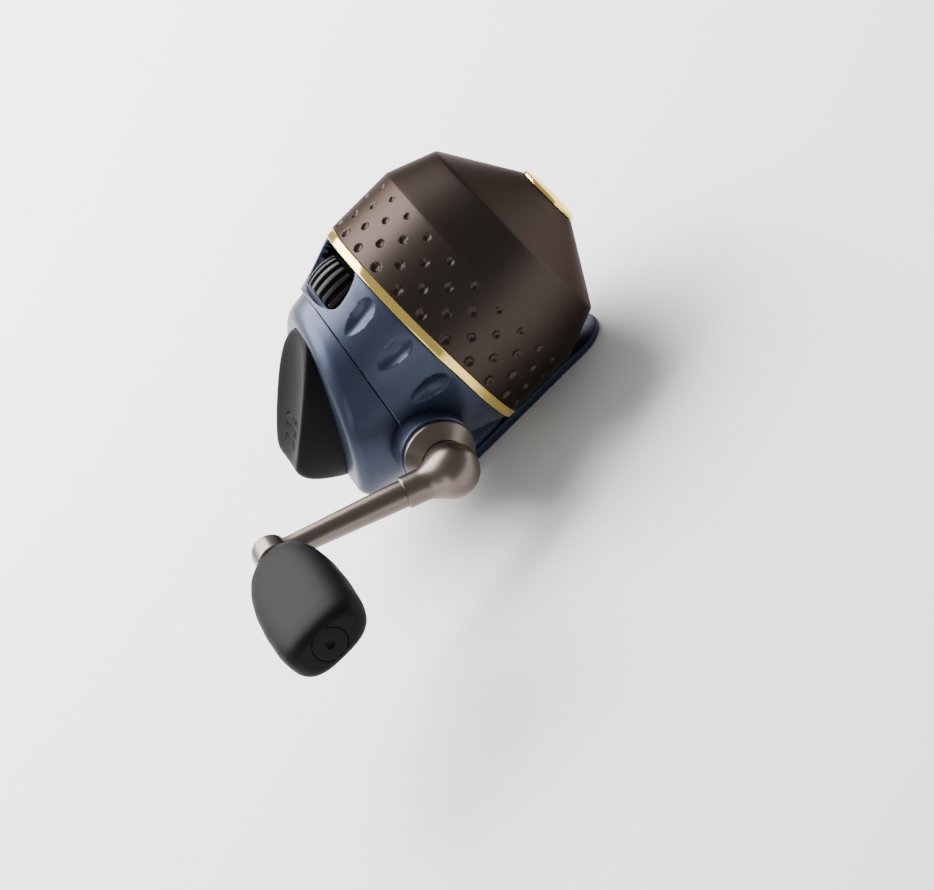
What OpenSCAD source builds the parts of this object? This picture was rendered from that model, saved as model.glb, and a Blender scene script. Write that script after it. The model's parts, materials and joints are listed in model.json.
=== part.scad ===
// Spincast reel, built around one horizontal reel axis.
// X points forward along the rod, Y to the angler's left, Z up and away from the rod.
// The origin is the centre of the foot's underside.

/* [Reel] */
// Height of the reel axis above the underside of the foot
axis_h = 35; // [34.5:0.1:36]
// Radius of the front cover
cover_r = 31.1; // [30.8:0.1:31.3]
// Length of the straight part of the front cover
cover_len = 18.2; // [17:0.1:18.6]
// Wall of the front cover
cover_wall = 1.3; // [1:0.1:1.4]
// Radius of the cover at its shoulder
shoulder_r = 26.5; // [26.2:0.1:27]
// Radius of the cover at its nose
nose_r = 8.4; // [8.2:0.1:9]
// Radius of the gold trim ring
trim_r = 31.3; // [31.2:0.1:31.5]

/* [Dimples] */
// Dimples around the cover in each row
dimple_count = 24; // [12:1:24]
// Distance between two rows of dimples
dimple_pitch = 4.5; // [4:0.1:4.6]
// Widest dimple, in the row next to the trim ring
dimple_d = 2.6; // [2:0.1:2.8]
// Angle of the first dimple from the top
dimple_phase = 11.7; // [0:0.1:15]

/* [Foot] */
// Length of the foot
foot_len = 60; // [56:1:64]
// Width of the foot
foot_w = 15; // [13:0.5:16]
// Thickness of the foot between its ends
foot_t = 2.5; // [2:0.1:2.6]

/* [Handle] */
// Length of the crank arm between its two axes
arm_len = 46.6; // [42:0.1:50]
// Angle of the arm above the rearward direction
arm_angle = 23; // [0:1:40]
// Radius of the ball at the elbow
ball_r = 6.7; // [6.3:0.1:7]
// Length of the paddle knob
knob_len = 39.6; // [36:0.1:42]
// Half the width of the knob at its widest
knob_half_w = 11.4; // [10:0.1:12]

/* [Thumb button] */
// Angle through which the button turns
button_travel = 11; // [6:1:11]
// Half the width of the button at its base
button_half_w = 11.6; // [10.5:0.1:12]

/* [Hidden] */

// Smoothness of turned parts, and of small ones
$fn = 96;
small_fn = 32;
// Radial gap of a part that runs on a shaft, and the gap between parts that must not touch
run_gap = 0.05;
free_gap = 0.35;
// Hair of extra length that lets a cutter pass right through a face
cut = 0.5;

// Colours of the finishes
blue_paint = "#5a6a94";
gunmetal = "#6b625c";
gold = "#d9a520";
black_plastic = "#2b2b2d";
steel = "#b8babd";
brass = "#c8a050";
white_nylon = "#e6e2d6";
black_rubber = "#262626";
die_cast = "#9a9da1";

// Front cover: where its shoulder and nose lie along the axis
cover_x0 = 1.3;
cover_x1 = cover_x0 + cover_len;
shoulder_x = 31.6;
nose_x = 42.6;
eyelet_r = 8.2;
eyelet_bore_r = 3.4;
eyelet_x1 = nose_x + 1.7;

// Body housing: outer radius against distance along the axis, from the trim ring backwards
body_profile = [[-1.1, 30.6], [-5, 29.1], [-10, 27.3], [-14, 26.2], [-19, 25.2], [-25, 24.4]];
body_wall = 1.9;
spigot_r = 29.5;
spigot_x = 5.5;
// The seam between the housing and the rear cover leans forward towards the top
seam_x = -19.1;
seam_slope = 0.185;
seam_gap = 0.12;
// Rear cover
rear_profile = [[-12, 25.4], [-17, 24.7], [-22, 24.1], [-28, 23.5], [-34, 22.8], [-46, 21.6]];
rear_wall = 1.7;
// The sloping rear face that carries the thumb button
slope_x = -32.8;
slope_run = 0.513;
slope_angle = atan(slope_run);

// Crank axis, below and behind the centre of the reel
crank_x = -17.4;
crank_z = -10.2;
boss_r = 9.3;
boss_bore_r = 7;
boss_y0 = -31.1;
boss_y1 = -13;
crank_r = 2.5;
crank_bushing_r = 4.2;
crank_bearing_w = 3;
crank_bearing_y = boss_y0 + 2;
inner_bearing_y = boss_y1 - 2.4;
crank_ball_mid = 4.75;
crank_ball_r = 1;
clutch_y0 = boss_y0 + 3.9;
clutch_y1 = boss_y1 - 4.4;
clutch_roller_mid = 4.7;
clutch_roller_r = 0.8;
crank_clip_y = 9.5;
gear_pin_y = -5.3;
gear_pin_r = 0.75;
bridge_y0 = 5.6;
bridge_screw_r = 1;

// Drive: a helical gear under a steep threaded pinion, on crossed axes
gear_teeth = 16;
gear_pitch_r = 6.6;
pinion_starts = 4;
gear_face = 8;
gear_helix = 24.6;
gear_lead = 2 * PI * gear_pitch_r / tan(gear_helix);
pinion_pitch_r = -crank_z - gear_pitch_r;
pinion_lead = 2 * PI * pinion_pitch_r * tan(gear_helix);
tooth_out = 0.62;
tooth_in = 0.85;
pinion_x0 = crank_x - 5.1;
pinion_x1 = crank_x + 5.1;
journal_r = 2.6;
pinion_bearing_w = 3;
pinion_bearing_r = 5;
pinion_ball_mid = 3.8;
pinion_ball_r = 0.5;
pinion_front_x = -8;
pinion_rear_x = -26.5;

// Centre shaft, keyed to the pinion by two flats
shaft_r = 1.6;
shaft_flat = 1.25;
shaft_x0 = -38;
shaft_x1 = 31;

// Deck plate and the spool post on its front
deck_x0 = -0.5;
deck_x1 = 1.5;
deck_r = 27.3;
deck_hub_r = 6.8;
post_r = 5.2;
post_x1 = 17;
deck_screw_r = 24.3;
deck_screw_angles = [30, 150, 255];

// Scallops in the housing's side
scallop_x = -4.8;
scallop_r = 3.3;
scallop_axis_r = 31.1;
scallop_a0 = 36;
scallop_step = 24.6;

// Screws
foot_screw_x = [-5.5, -12];
foot_screw_r = 1.3;
deck_thread_r = 1.2;
cover_thread_r = 1;

// Spool and drag
spool_x0 = 7.1;
spool_x1 = 16.8;
spool_flange_r = 19.3;
spool_core_r = 11;
bushing_r = 6.8;
dial_z = 18.3;
dial_r = 11;
dial_x0 = -11.9;
dial_x1 = -2.5;
dial_rib_count = 26;
dial_axle_r = 1.25;
dial_hub_r = 4;
ring_teeth = 36;
dial_teeth = 18;
spur_module = 2 * dial_z / (ring_teeth + dial_teeth);
ring_x0 = 2.2;
ring_x1 = 4.2;
dial_window_angle = 22;
dial_window_x0 = -12.3;
dial_window_x1 = -1.05;

// Spinner head and pickup pins
head_r = 24.3;
head_wall = 1.3;
head_x0 = 17.3;
head_x1 = 26.8;
pin_x = 19.8;
pickup_r = 0.8;
pickup_out = 26;
pickup_in = 6.8;

// Thumb button, hinged near the top of the rear cover
hinge_x = -22;
hinge_z = 18.6;
hinge_r = 1;
button_mid = 4.4;
button_half_len = 19.7;
button_wall = 1.8;

// Handle
elbow_y = -40.6;
elbow_back_y = -35.45;
socket_len = 12.6;
arm_seat = 6.5;
arm_r0 = 3.4;
arm_r1 = 2.6;
arm_boss_r = 4.5;
arm_boss_half = 3.6;
knob_y0 = elbow_y - arm_boss_half - free_gap;
knob_y1 = knob_y0 - knob_len;
knob_shaft_r = 1.75;
knob_half_t = 6.8;

// Raises what is drawn about the reel axis to its height above the foot
module on_axis() {
    translate([0, 0, axis_h]) children();
}

// Cylinder or cone along X between two stations
module x_rod(x0, x1, r, r2 = undef, fn = $fn) {
    translate([x0, 0, 0])
        rotate([0, 90, 0])
            cylinder(h = x1 - x0, r1 = r, r2 = is_undef(r2) ? r : r2, $fn = fn);
}

// Cylinder or cone along Y, from y0 up to the larger y1
module y_rod(y0, y1, r, r2 = undef, fn = $fn) {
    translate([0, y0, 0])
        rotate([-90, 0, 0])
            cylinder(h = y1 - y0, r1 = r, r2 = is_undef(r2) ? r : r2, $fn = fn);
}

// Tube along X
module x_tube(x0, x1, outer_r, inner_r, fn = $fn) {
    difference() {
        x_rod(x0, x1, outer_r, fn = fn);
        x_rod(x0 - cut, x1 + cut, inner_r, fn = fn);
    }
}

// Tube along Y
module y_tube(y0, y1, outer_r, inner_r, fn = $fn) {
    difference() {
        y_rod(y0, y1, outer_r, fn = fn);
        y_rod(y0 - cut, y1 + cut, inner_r, fn = fn);
    }
}

// Turned part about X from a closed outline of [x, radius] points
module x_turned(outline) {
    rotate([0, 90, 0])
        rotate_extrude()
            polygon([for (p = outline) [p[1], p[0]]]);
}

// Turned part about Y from a closed outline of [y, radius] points
module y_turned(outline) {
    rotate([-90, 0, 0])
        rotate_extrude()
            polygon([for (p = outline) [p[1], p[0]]]);
}

// Plate with its outline in the X-Z plane, between two values of Y
module xz_plate(y0, y1) {
    translate([0, y1, 0])
        rotate([90, 0, 0])
            linear_extrude(height = y1 - y0)
                children();
}

// Points of an arc about a centre
function arc(centre, r, a0, a1, steps = 8) =
    [for (i = [0:steps]) centre + r * [cos(a0 + (a1 - a0) * i / steps), sin(a0 + (a1 - a0) * i / steps)]];

// Outline moved inwards, towards the axis
function thinned(profile, wall) = [for (p = profile) [p[0], p[1] - wall]];

// The same points in the opposite order
function reversed(points) = [for (i = [len(points) - 1:-1:0]) points[i]];

// Shell of revolution with a constant wall
module x_shell(profile, wall) {
    x_turned(concat(profile, reversed(thinned(profile, wall))));
}

// Everything behind the leaning seam, moved back by a gap
module behind_seam(gap) {
    xz_plate(-60, 60)
        polygon([
            [seam_x - 60 * seam_slope - gap, -60],
            [seam_x + 60 * seam_slope - gap, 60],
            [-90, 60],
            [-90, -60]
        ]);
}

// Round cover: straight skirt, mild shoulder, steep nose, with a hole for the line guide
module front_cover() {
    outer = [
        [cover_x0, cover_r],
        [cover_x1, cover_r],
        [shoulder_x, shoulder_r],
        [nose_x, nose_r]
    ];
    inner = [
        [cover_x0, cover_r - cover_wall],
        [cover_x1 - 0.3, cover_r - cover_wall],
        [shoulder_x - 0.6, shoulder_r - cover_wall],
        [nose_x - cover_wall * 1.2, nose_r - cover_wall]
    ];
    neck = [[nose_x - cover_wall * 1.2, 5.5], [nose_x, 5.5]];
    color(gunmetal)
        on_axis()
            difference() {
                x_turned(concat(outer, reversed(neck), reversed(inner)));
                for (row = [0:3])
                    dimple_row(row);
            }
}

// One ring of dimples; every second row is turned by half a step
module dimple_row(row) {
    step = 360 / dimple_count;
    d = dimple_d - 0.27 * row;
    depth = d * 0.17;
    ball = (d * d / 4 + depth * depth) / (2 * depth);
    x = cover_x0 + 2 + row * dimple_pitch;
    for (i = [0:dimple_count - 1])
        rotate([dimple_phase + (i + (row % 2) / 2) * step, 0, 0])
            translate([x, 0, cover_r + ball - depth])
                sphere(r = ball, $fn = 24);
}

// Polished eyelet that the line runs out through
module line_guide() {
    flange = [
        [nose_x + 0.05, 5.2],
        [nose_x + 0.05, eyelet_r],
        [nose_x + 0.9, eyelet_r],
        [nose_x + 1.5, eyelet_r - 0.7],
        [eyelet_x1, eyelet_r - 1.6]
    ];
    throat = [
        [eyelet_x1, 5.2],
        [nose_x + 1.2, 4.1],
        [nose_x, eyelet_bore_r],
        [nose_x - 2.6, eyelet_bore_r],
        [nose_x - 2.6, 5.2]
    ];
    color(gold)
        on_axis()
            x_turned(concat(flange, throat));
}

// Gold ring between the cover and the housing
module trim_ring() {
    color(gold)
        on_axis()
            x_turned([
                [-1.05, spigot_r + 0.05],
                [1.25, spigot_r + 0.05],
                [1.25, trim_r - 0.25],
                [1, trim_r],
                [-0.8, trim_r],
                [-1.05, trim_r - 0.25]
            ]);
}

// Outline of the dial window seen from the front: a wedge of the wall around the top
module dial_window() {
    intersection() {
        x_rod(dial_window_x0, dial_window_x1, 40);
        rotate([90, 0, 90])
            linear_extrude(height = 80, center = true)
                polygon([
                    [0, 0],
                    [60 * tan(dial_window_angle), 60],
                    [-60 * tan(dial_window_angle), 60]
                ]);
        translate([-40, -40, 12])
            cube([80, 80, 40]);
    }
}

// Boss that carries the crank's bearings, before its bore is cut
module crank_boss() {
    translate([crank_x, 0, crank_z])
        difference() {
            y_rod(boss_y0, boss_y1, boss_r);
            y_rod(boss_y1 - 1, boss_y1 + cut, boss_r - 1.4);
        }
}

// Teardrop scallop in the housing's side, at an angle from the top, tapering backwards
module scallop(angle) {
    rotate([angle, 0, 0])
        translate([scallop_x, 0, scallop_axis_r]) {
            sphere(r = scallop_r, $fn = 48);
            rotate([0, -116, 0])
                cylinder(h = 10.2, r1 = scallop_r, r2 = 0.6, $fn = 48);
        }
}

// Front part of the body, with the crank boss, the dial window and the spigot for the cover
module body_housing() {
    color(blue_paint)
        on_axis()
            difference() {
                union() {
                    difference() {
                        union() {
                            x_shell(body_profile, body_wall);
                            x_tube(-1.1, spigot_x, spigot_r - 0.1, spigot_r - 1.9);
                            x_tube(-2.4, deck_x0 - 0.05, spigot_r, deck_r - 2.4);
                            inside_lugs();
                        }
                        behind_seam(0);
                        dial_window();
                        scallops();
                    }
                    crank_boss();
                    foot_pad();
                }
                translate([crank_x, 0, crank_z])
                    y_rod(boss_y0 - cut, boss_y1 + cut, boss_bore_r);
                screw_holes(foot_screw_x, -31, -18, foot_screw_r);
                at_deck_screws()
                    x_rod(-6.5, 2, deck_thread_r, fn = small_fn);
                at_cover_screws()
                    x_rod(-20, -10, cover_thread_r + 0.1, fn = small_fn);
                dial_relief();
                translate([0, 0, dial_z])
                    x_rod(-16, -10, dial_axle_r, fn = small_fn);
            }
}

// Room for the dial inside the housing's rim
module dial_relief() {
    translate([0, 0, dial_z])
        x_rod(dial_x0 - free_gap, deck_x0 + cut, dial_r + 0.6);
}

// Places its child at each screw that holds the deck plate
module at_deck_screws() {
    for (a = deck_screw_angles)
        translate([0, deck_screw_r * cos(a), deck_screw_r * sin(a)])
            children();
}

// Places its child at each screw that holds the rear cover
module at_cover_screws() {
    for (side = [-1, 1])
        translate([0, side * 17.5, 10])
            children();
}

// Lugs for the deck screws and the cover screws, and the rib behind the dial
module inside_lugs() {
    intersection() {
        union() {
            at_deck_screws()
                x_rod(-7.5, deck_x0 - 0.05, 3.3, fn = small_fn);
            at_cover_screws()
                x_rod(-16.8, -14.2, 5.6, fn = small_fn);
            translate([dial_x0 - free_gap - 2, -6, 12.5])
                cube([2, 12, 16]);
        }
        x_turned(concat([[-1.1, 0]], thinned(body_profile, 0.2), [[-25, 0]]));
    }
}

// Three scallops on each side of the housing
module scallops() {
    for (side = [-1, 1])
        for (i = [0:2])
            scallop(side * (scallop_a0 + scallop_step * i));
}

// Thick pad inside the housing's lowest point, for the foot screws
module foot_pad() {
    intersection() {
        translate([-15.5, -5, -29])
            cube([13, 10, 7]);
        x_turned([[-1.1, 0], for (p = body_profile) [p[0], p[1] - 0.2], [-25, 0]]);
    }
}

// Upright holes under the reel axis
module screw_holes(stations, z0, z1, r) {
    for (x = stations)
        translate([x, 0, z0])
            cylinder(h = z1 - z0, r = r, $fn = small_fn);
}

// Side outline of the rear cover: sloping back, then a face that runs under to the bottom
module rear_side_outline() {
    top = [slope_x + 24 * slope_run, 24];
    knee = [-39.3, -12.6];
    heel = [-34.6, -21.4];
    polygon([
        [0, 40],
        top + [3, 16],
        top + [1.3, 0.9],
        top + [-0.6, -1.4],
        knee + [0.6, 2.4],
        knee + [0.4, 0],
        knee + [1.2, -2.4],
        heel + [-0.6, 1.4],
        heel + [0.7, -0.6],
        heel + [3, -2.6],
        heel + [8, -4],
        [0, -40]
    ]);
}

// Solid that the rear cover is hollowed from
module rear_solid(wall) {
    intersection() {
        x_turned(concat([[-12, 0]], thinned(rear_profile, wall), [[-46, 0]]));
        translate([wall * 1.15, 0, 0])
            xz_plate(-40, 40)
                rear_side_outline();
        behind_seam(wall > 0 ? -5 : seam_gap);
    }
}

// Frame whose X points into the body through the sloping face and whose Z runs up it
module on_slope() {
    translate([slope_x, 0, 0])
        rotate([0, slope_angle, 0])
            children();
}

// Rear shell with the opening for the thumb button
module rear_cover() {
    color(blue_paint)
        on_axis()
            difference() {
                union() {
                    difference() {
                        rear_solid(0);
                        rear_solid(rear_wall);
                        button_opening(8);
                    }
                    hinge_ears();
                    cover_screw_posts();
                }
                translate([crank_x, 0, crank_z])
                    y_rod(-60, boss_y1 + 3, boss_r + 0.25);
                translate([hinge_x, 0, hinge_z])
                    y_rod(-9.4, 9.4, hinge_r, fn = small_fn);
                at_cover_screws()
                    x_rod(-27, 0, cover_thread_r, fn = small_fn);
            }
}

// Two ears inside the cover that hold the button's pin
module hinge_ears() {
    difference() {
        intersection() {
            for (side = [-1, 1])
                translate([hinge_x - 2.5, side * 9.5 - 1.2, hinge_z - 2.5])
                    cube([5.5, 2.4, 5]);
            rear_solid(0.2);
        }
        button_opening(2.6);
    }
}

// Inside posts for the two screws that hold the rear cover
module cover_screw_posts() {
    intersection() {
        at_cover_screws()
            x_rod(-29, -15, 5.6, fn = small_fn);
        rear_solid(0.2);
        behind_seam(seam_gap);
    }
}

// Outline of the thumb button on the sloping face: [up the slope, sideways], grown by a margin
function button_outline(margin) = [
    for (i = [0:63])
        let (a = i * 360 / 64, c = cos(a), s = sin(a), p = 2 / 2.5)
        [
            button_mid + sign(c) * pow(abs(c), p) * (button_half_len + margin),
            sign(s) * pow(abs(s), p) * (button_half_w + margin)
        ]
];

// Opening in the sloping face that the button moves through, down to a depth
module button_opening(depth) {
    on_slope()
        translate([depth, 0, 0])
            rotate([0, -90, 0])
                linear_extrude(height = 20)
                    polygon(button_outline(0.45));
}

// Foot that clamps into a rod's reel seat: a saddle-shaped stem on a thin plate with ramped ends
module reel_foot() {
    color(blue_paint)
        difference() {
            union() {
                foot_plate();
                foot_stem();
            }
            on_axis()
                x_turned(concat([[-1.1, 0]], thinned(body_profile, -0.02), [[-25, 0]]));
            for (x = foot_screw_x)
                translate([x, 0, -cut])
                    cylinder(h = 12, r = foot_screw_r + 0.15, $fn = small_fn);
            for (x = foot_screw_x)
                translate([x, 0, -0.01])
                    cylinder(h = 1.7, r1 = 2.75, r2 = foot_screw_r + 0.15, $fn = small_fn);
        }
}

// Plate of the foot, thinning towards both ends
module foot_plate() {
    half = foot_len / 2;
    intersection() {
        xz_plate(-foot_w / 2, foot_w / 2)
            polygon([
                [-half, 0],
                [half, 0],
                [half, 1.4],
                [half - 14, foot_t],
                [14 - half, foot_t],
                [-half, 1.4]
            ]);
        linear_extrude(height = 10)
            foot_plan();
    }
}

// Plan of the foot: straight sides with rounded ends
module foot_plan() {
    end_r = foot_w / 2;
    polygon(concat(
        arc([foot_len / 2 - end_r, 0], end_r, -90, 90, 16),
        arc([end_r - foot_len / 2, 0], end_r, 90, 270, 16)
    ));
}

// Stem between the plate and the housing
module foot_stem() {
    translate([0, 0, 1])
        linear_extrude(height = 10)
            polygon([
                [-15.2, -4.8], [-13.6, -6.6], [-1.2, -6.6], [-1.2, 6.6], [-13.6, 6.6], [-15.2, 4.8]
            ]);
}

// Two countersunk screws through the foot into the housing
module foot_screws() {
    color(steel)
        for (x = foot_screw_x)
            translate([x, 0, 0.05])
                difference() {
                    union() {
                        cylinder(h = 1.6, r1 = 2.65, r2 = foot_screw_r, $fn = small_fn);
                        cylinder(h = 12, r = foot_screw_r, $fn = small_fn);
                    }
                    cross_recess(0.9);
                }
}

// Cross recess for a screwdriver, sunk upwards from the plane Z = 0
module cross_recess(depth) {
    for (a = [0, 90])
        rotate([0, 0, a])
            translate([-1.2, -0.28, -cut])
                cube([2.4, 0.56, depth + cut]);
}

// Pan-head screw with its head's underside at the origin and its shank along -X
module pan_screw(shank_r, shank_len, head_r, head_h) {
    difference() {
        union() {
            x_rod(-shank_len, 0.1, shank_r, fn = small_fn);
            x_rod(0, head_h, head_r, head_r * 0.85, fn = small_fn);
        }
        translate([head_h, 0, 0])
            rotate([0, -90, 0])
                cross_recess(head_h * 0.6);
    }
}

// Die-cast plate across the housing, with the spool post in front and a bearing hub behind
module deck_plate() {
    color(die_cast)
        on_axis()
            difference() {
                union() {
                    x_rod(deck_x0, deck_x1, deck_r);
                    x_rod(pinion_front_x - 0.5, deck_x0 + 0.1, deck_hub_r);
                    x_rod(deck_x1 - 0.1, post_x1, post_r);
                    x_rod(post_x1 - 0.1, post_x1 + 0.7, 4.2);
                    x_rod(post_x1 + 0.6, pin_x - 0.2, 4.8);
                }
                x_rod(-20, 30, shaft_r + 0.4);
                x_rod(-20, pinion_front_x + pinion_bearing_w, pinion_bearing_r);
                x_rod(-20, pinion_front_x + pinion_bearing_w + 2.6, journal_r + 0.4);
                at_deck_screws()
                    x_rod(-5, 5, deck_thread_r + 0.15, fn = small_fn);
                translate([0, 0, dial_z])
                    x_rod(-5, 5, dial_hub_r + run_gap);
                at_bridge_screws()
                    x_rod(-5, 5, bridge_screw_r + 0.1, fn = small_fn);
            }
}

// Screws that hold the deck plate in the housing
module deck_screws() {
    color(steel)
        on_axis()
            at_deck_screws()
                translate([deck_x1, 0, 0])
                    pan_screw(deck_thread_r, 6.5, 2.2, 1.5);
}

// Screws that hold the rear cover from inside
module rear_cover_screws() {
    color(steel)
        on_axis()
            at_cover_screws()
                translate([-14.2, 0, 0])
                    pan_screw(cover_thread_r, 12, 1.9, 1.4);
}

// Places its child at each screw of the gear bridge
module at_bridge_screws() {
    for (z = [-9, 1])
        translate([0, 14.4, z])
            children();
}

// Bracket behind the deck plate that holds the back of the pinion and the inner end of the crank
module gear_bridge() {
    color(die_cast)
        on_axis()
            difference() {
                union() {
                    translate([pinion_rear_x - 0.6, -6.2, -6.2])
                        cube([pinion_bearing_w + 0.6, 15.6, 12.4]);
                    translate([pinion_rear_x - 0.6, bridge_y0, -15.5])
                        cube([deck_x0 - pinion_rear_x + 0.5, 3.8, 21.7]);
                    translate([deck_x0 - 2.6, bridge_y0, -15.5])
                        cube([2.5, 10.5, 19.5]);
                }
                x_rod(-40, -15, journal_r + 0.4);
                x_rod(pinion_rear_x, -15, pinion_bearing_r);
                x_rod(pinion_front_x - 1, deck_x0 + cut, deck_hub_r + 0.1);
                translate([crank_x, 0, crank_z])
                    y_rod(0, 20, crank_bushing_r);
                at_bridge_screws()
                    x_rod(-8, 5, bridge_screw_r, fn = small_fn);
            }
}

// Screws through the deck plate into the gear bridge
module bridge_screws() {
    color(steel)
        on_axis()
            at_bridge_screws()
                translate([deck_x1, 0, 0])
                    pan_screw(bridge_screw_r - 0.05, 4.4, 1.6, 0.65);
}

// Spool: a core between two flanges, turning on the deck plate's post
module spool() {
    color(die_cast)
        on_axis()
            x_turned([
                [spool_x0, bushing_r],
                [spool_x0, spool_flange_r],
                [spool_x0 + 1.1, spool_flange_r],
                [spool_x0 + 1.5, spool_core_r],
                [spool_x1 - 1.5, spool_core_r],
                [spool_x1 - 1.1, spool_flange_r],
                [spool_x1, spool_flange_r],
                [spool_x1, bushing_r]
            ]);
}

// Plain bearing pressed into the spool
module spool_bushing() {
    color(brass)
        on_axis()
            x_tube(spool_x0, spool_x1, bushing_r, post_r + run_gap);
}

// Spring clip in the post's groove that keeps the spool on
module spool_clip() {
    color(steel)
        on_axis()
            difference() {
                x_tube(post_x1 + 0.08, post_x1 + 0.58, 6.4, 4.25);
                translate([post_x1 - 1, -1.2, -10])
                    cube([3, 2.4, 9]);
            }
}

// Friction washer behind the spool
module drag_washer() {
    color(white_nylon)
        on_axis()
            x_tube(5.6, 6.6, 16.5, post_r + 0.3);
}

// Metal plate that presses the friction washer
module drag_plate() {
    color(steel)
        on_axis()
            x_tube(4.6, 5.6, 17, post_r + run_gap);
}

// Outline of a spur gear with a tooth centred on X
module spur_outline(teeth, module_mm) {
    pitch_r = teeth * module_mm / 2;
    step = 360 / teeth;
    polygon([
        for (i = [0:teeth - 1])
            for (p = [[-0.31, -1.2], [-0.2, 0], [-0.1, 0.9], [0.1, 0.9], [0.2, 0], [0.31, -1.2]])
                let (r = pitch_r + p[1] * module_mm, a = (i + p[0]) * step)
                r * [cos(a), sin(a)]
    ]);
}

// Toothed ring on the post that sets the drag
module drag_ring() {
    color(brass)
        on_axis()
            difference() {
                translate([ring_x0, 0, 0])
                    rotate([0, 90, 0])
                        rotate([0, 0, 180 / ring_teeth])
                            linear_extrude(height = ring_x1 - ring_x0)
                                spur_outline(ring_teeth, spur_module);
                x_rod(0, 10, post_r + run_gap);
            }
}

// Small gear on the dial's hub, in mesh with the drag ring
module dial_gear() {
    color(brass)
        on_axis()
            translate([0, 0, dial_z])
                difference() {
                    translate([ring_x0, 0, 0])
                        rotate([0, 90, 0])
                            linear_extrude(height = ring_x1 - ring_x0)
                                spur_outline(dial_teeth, spur_module);
                    x_rod(0, 10, 2.6);
                }
}

// Ribbed barrel-shaped dial, with a hub that passes through the deck plate
module drag_dial() {
    waist = 0.9;
    barrel = [for (i = [0:8]) [
        dial_x0 + (dial_x1 - dial_x0) * i / 8,
        dial_r - waist * pow(i / 4 - 1, 2)
    ]];
    color(black_plastic)
        on_axis()
            translate([0, 0, dial_z])
                difference() {
                    x_turned(concat(
                        [[dial_x0, dial_axle_r + run_gap]],
                        barrel,
                        [[dial_x1, dial_hub_r], [deck_x1 + 0.1, dial_hub_r], [deck_x1 + 0.1, 2.6]],
                        [[ring_x1, 2.6], [ring_x1, dial_axle_r + run_gap]]
                    ));
                    for (i = [0:dial_rib_count - 1])
                        rotate([i * 360 / dial_rib_count, 0, 0])
                            translate([dial_x0 - cut, -0.6, dial_r - 1.5])
                                cube([dial_x1 - dial_x0 + 2 * cut, 1.2, 3]);
                }
}

// Fixed axle of the dial
module dial_axle() {
    color(steel)
        on_axis()
            translate([0, 0, dial_z])
                x_rod(dial_x0 - free_gap - 2, ring_x1 + 0.2, dial_axle_r, fn = small_fn);
}

// Ring torus about Z, the groove that bearing balls run in
module ball_groove(mid_r, r) {
    rotate_extrude()
        translate([mid_r, 0])
            circle(r = r, $fn = small_fn);
}

// Outer race about Z, centred on the origin
module outer_race(width, outer_r, mid_r, ball) {
    difference() {
        cylinder(h = width, r = outer_r, center = true);
        cylinder(h = width + 2 * cut, r = mid_r + ball * 0.5, center = true);
        ball_groove(mid_r, ball + run_gap);
    }
}

// Inner race about Z, centred on the origin
module inner_race(width, bore_r, mid_r, ball) {
    difference() {
        cylinder(h = width, r = mid_r - ball * 0.5, center = true);
        cylinder(h = width + 2 * cut, r = bore_r, center = true);
        ball_groove(mid_r, ball + run_gap);
    }
}

// Ring of balls about Z
module race_balls(count, mid_r, ball) {
    for (i = [0:count - 1])
        rotate([0, 0, i * 360 / count])
            translate([mid_r, 0, 0])
                sphere(r = ball, $fn = small_fn);
}

// Places its child at both of the crank's ball bearings, with Z along the crank
module at_crank_bearings() {
    for (y = [crank_bearing_y, inner_bearing_y])
        translate([crank_x, y, crank_z])
            rotate([-90, 0, 0])
                children();
}

// Places its child at both of the pinion's ball bearings, with Z along the reel axis
module at_pinion_bearings() {
    for (x = [pinion_front_x, pinion_rear_x])
        translate([x + pinion_bearing_w / 2, 0, 0])
            rotate([0, 90, 0])
                children();
}

module crank_bearing_outer_races() {
    color(steel)
        on_axis()
            at_crank_bearings()
                outer_race(crank_bearing_w, boss_bore_r, crank_ball_mid, crank_ball_r);
}

module crank_bearing_inner_races() {
    color(steel)
        on_axis()
            at_crank_bearings()
                inner_race(crank_bearing_w, crank_r, crank_ball_mid, crank_ball_r);
}

module crank_bearing_balls() {
    color(steel)
        on_axis()
            at_crank_bearings()
                race_balls(9, crank_ball_mid, crank_ball_r);
}

module pinion_bearing_outer_races() {
    color(steel)
        on_axis()
            at_pinion_bearings()
                outer_race(pinion_bearing_w, pinion_bearing_r, pinion_ball_mid, pinion_ball_r);
}

module pinion_bearing_inner_races() {
    color(steel)
        on_axis()
            at_pinion_bearings()
                inner_race(pinion_bearing_w, journal_r, pinion_ball_mid, pinion_ball_r);
}

module pinion_bearing_balls() {
    color(steel)
        on_axis()
            at_pinion_bearings()
                race_balls(10, pinion_ball_mid, pinion_ball_r);
}

// Outer sleeve of the one-way clutch, pressed into the boss
module clutch_sleeve() {
    color(steel)
        on_axis()
            translate([crank_x, 0, crank_z])
                y_tube(clutch_y0, clutch_y1, boss_bore_r, clutch_roller_mid + clutch_roller_r + run_gap);
}

// Rollers that let the crank turn one way only
module clutch_rollers() {
    color(steel)
        on_axis()
            translate([crank_x, 0, crank_z])
                for (i = [0:7])
                    rotate([0, i * 45, 0])
                        translate([clutch_roller_mid, 0, 0])
                            y_rod(clutch_y0 + 1, clutch_y1 - 1, clutch_roller_r, fn = small_fn);
}

// Hardened hub that the rollers bear on
module clutch_hub() {
    color(steel)
        on_axis()
            translate([crank_x, 0, crank_z])
                y_tube(clutch_y0 + 0.2, clutch_y1 - 0.2, clutch_roller_mid - clutch_roller_r - run_gap, crank_r);
}

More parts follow.
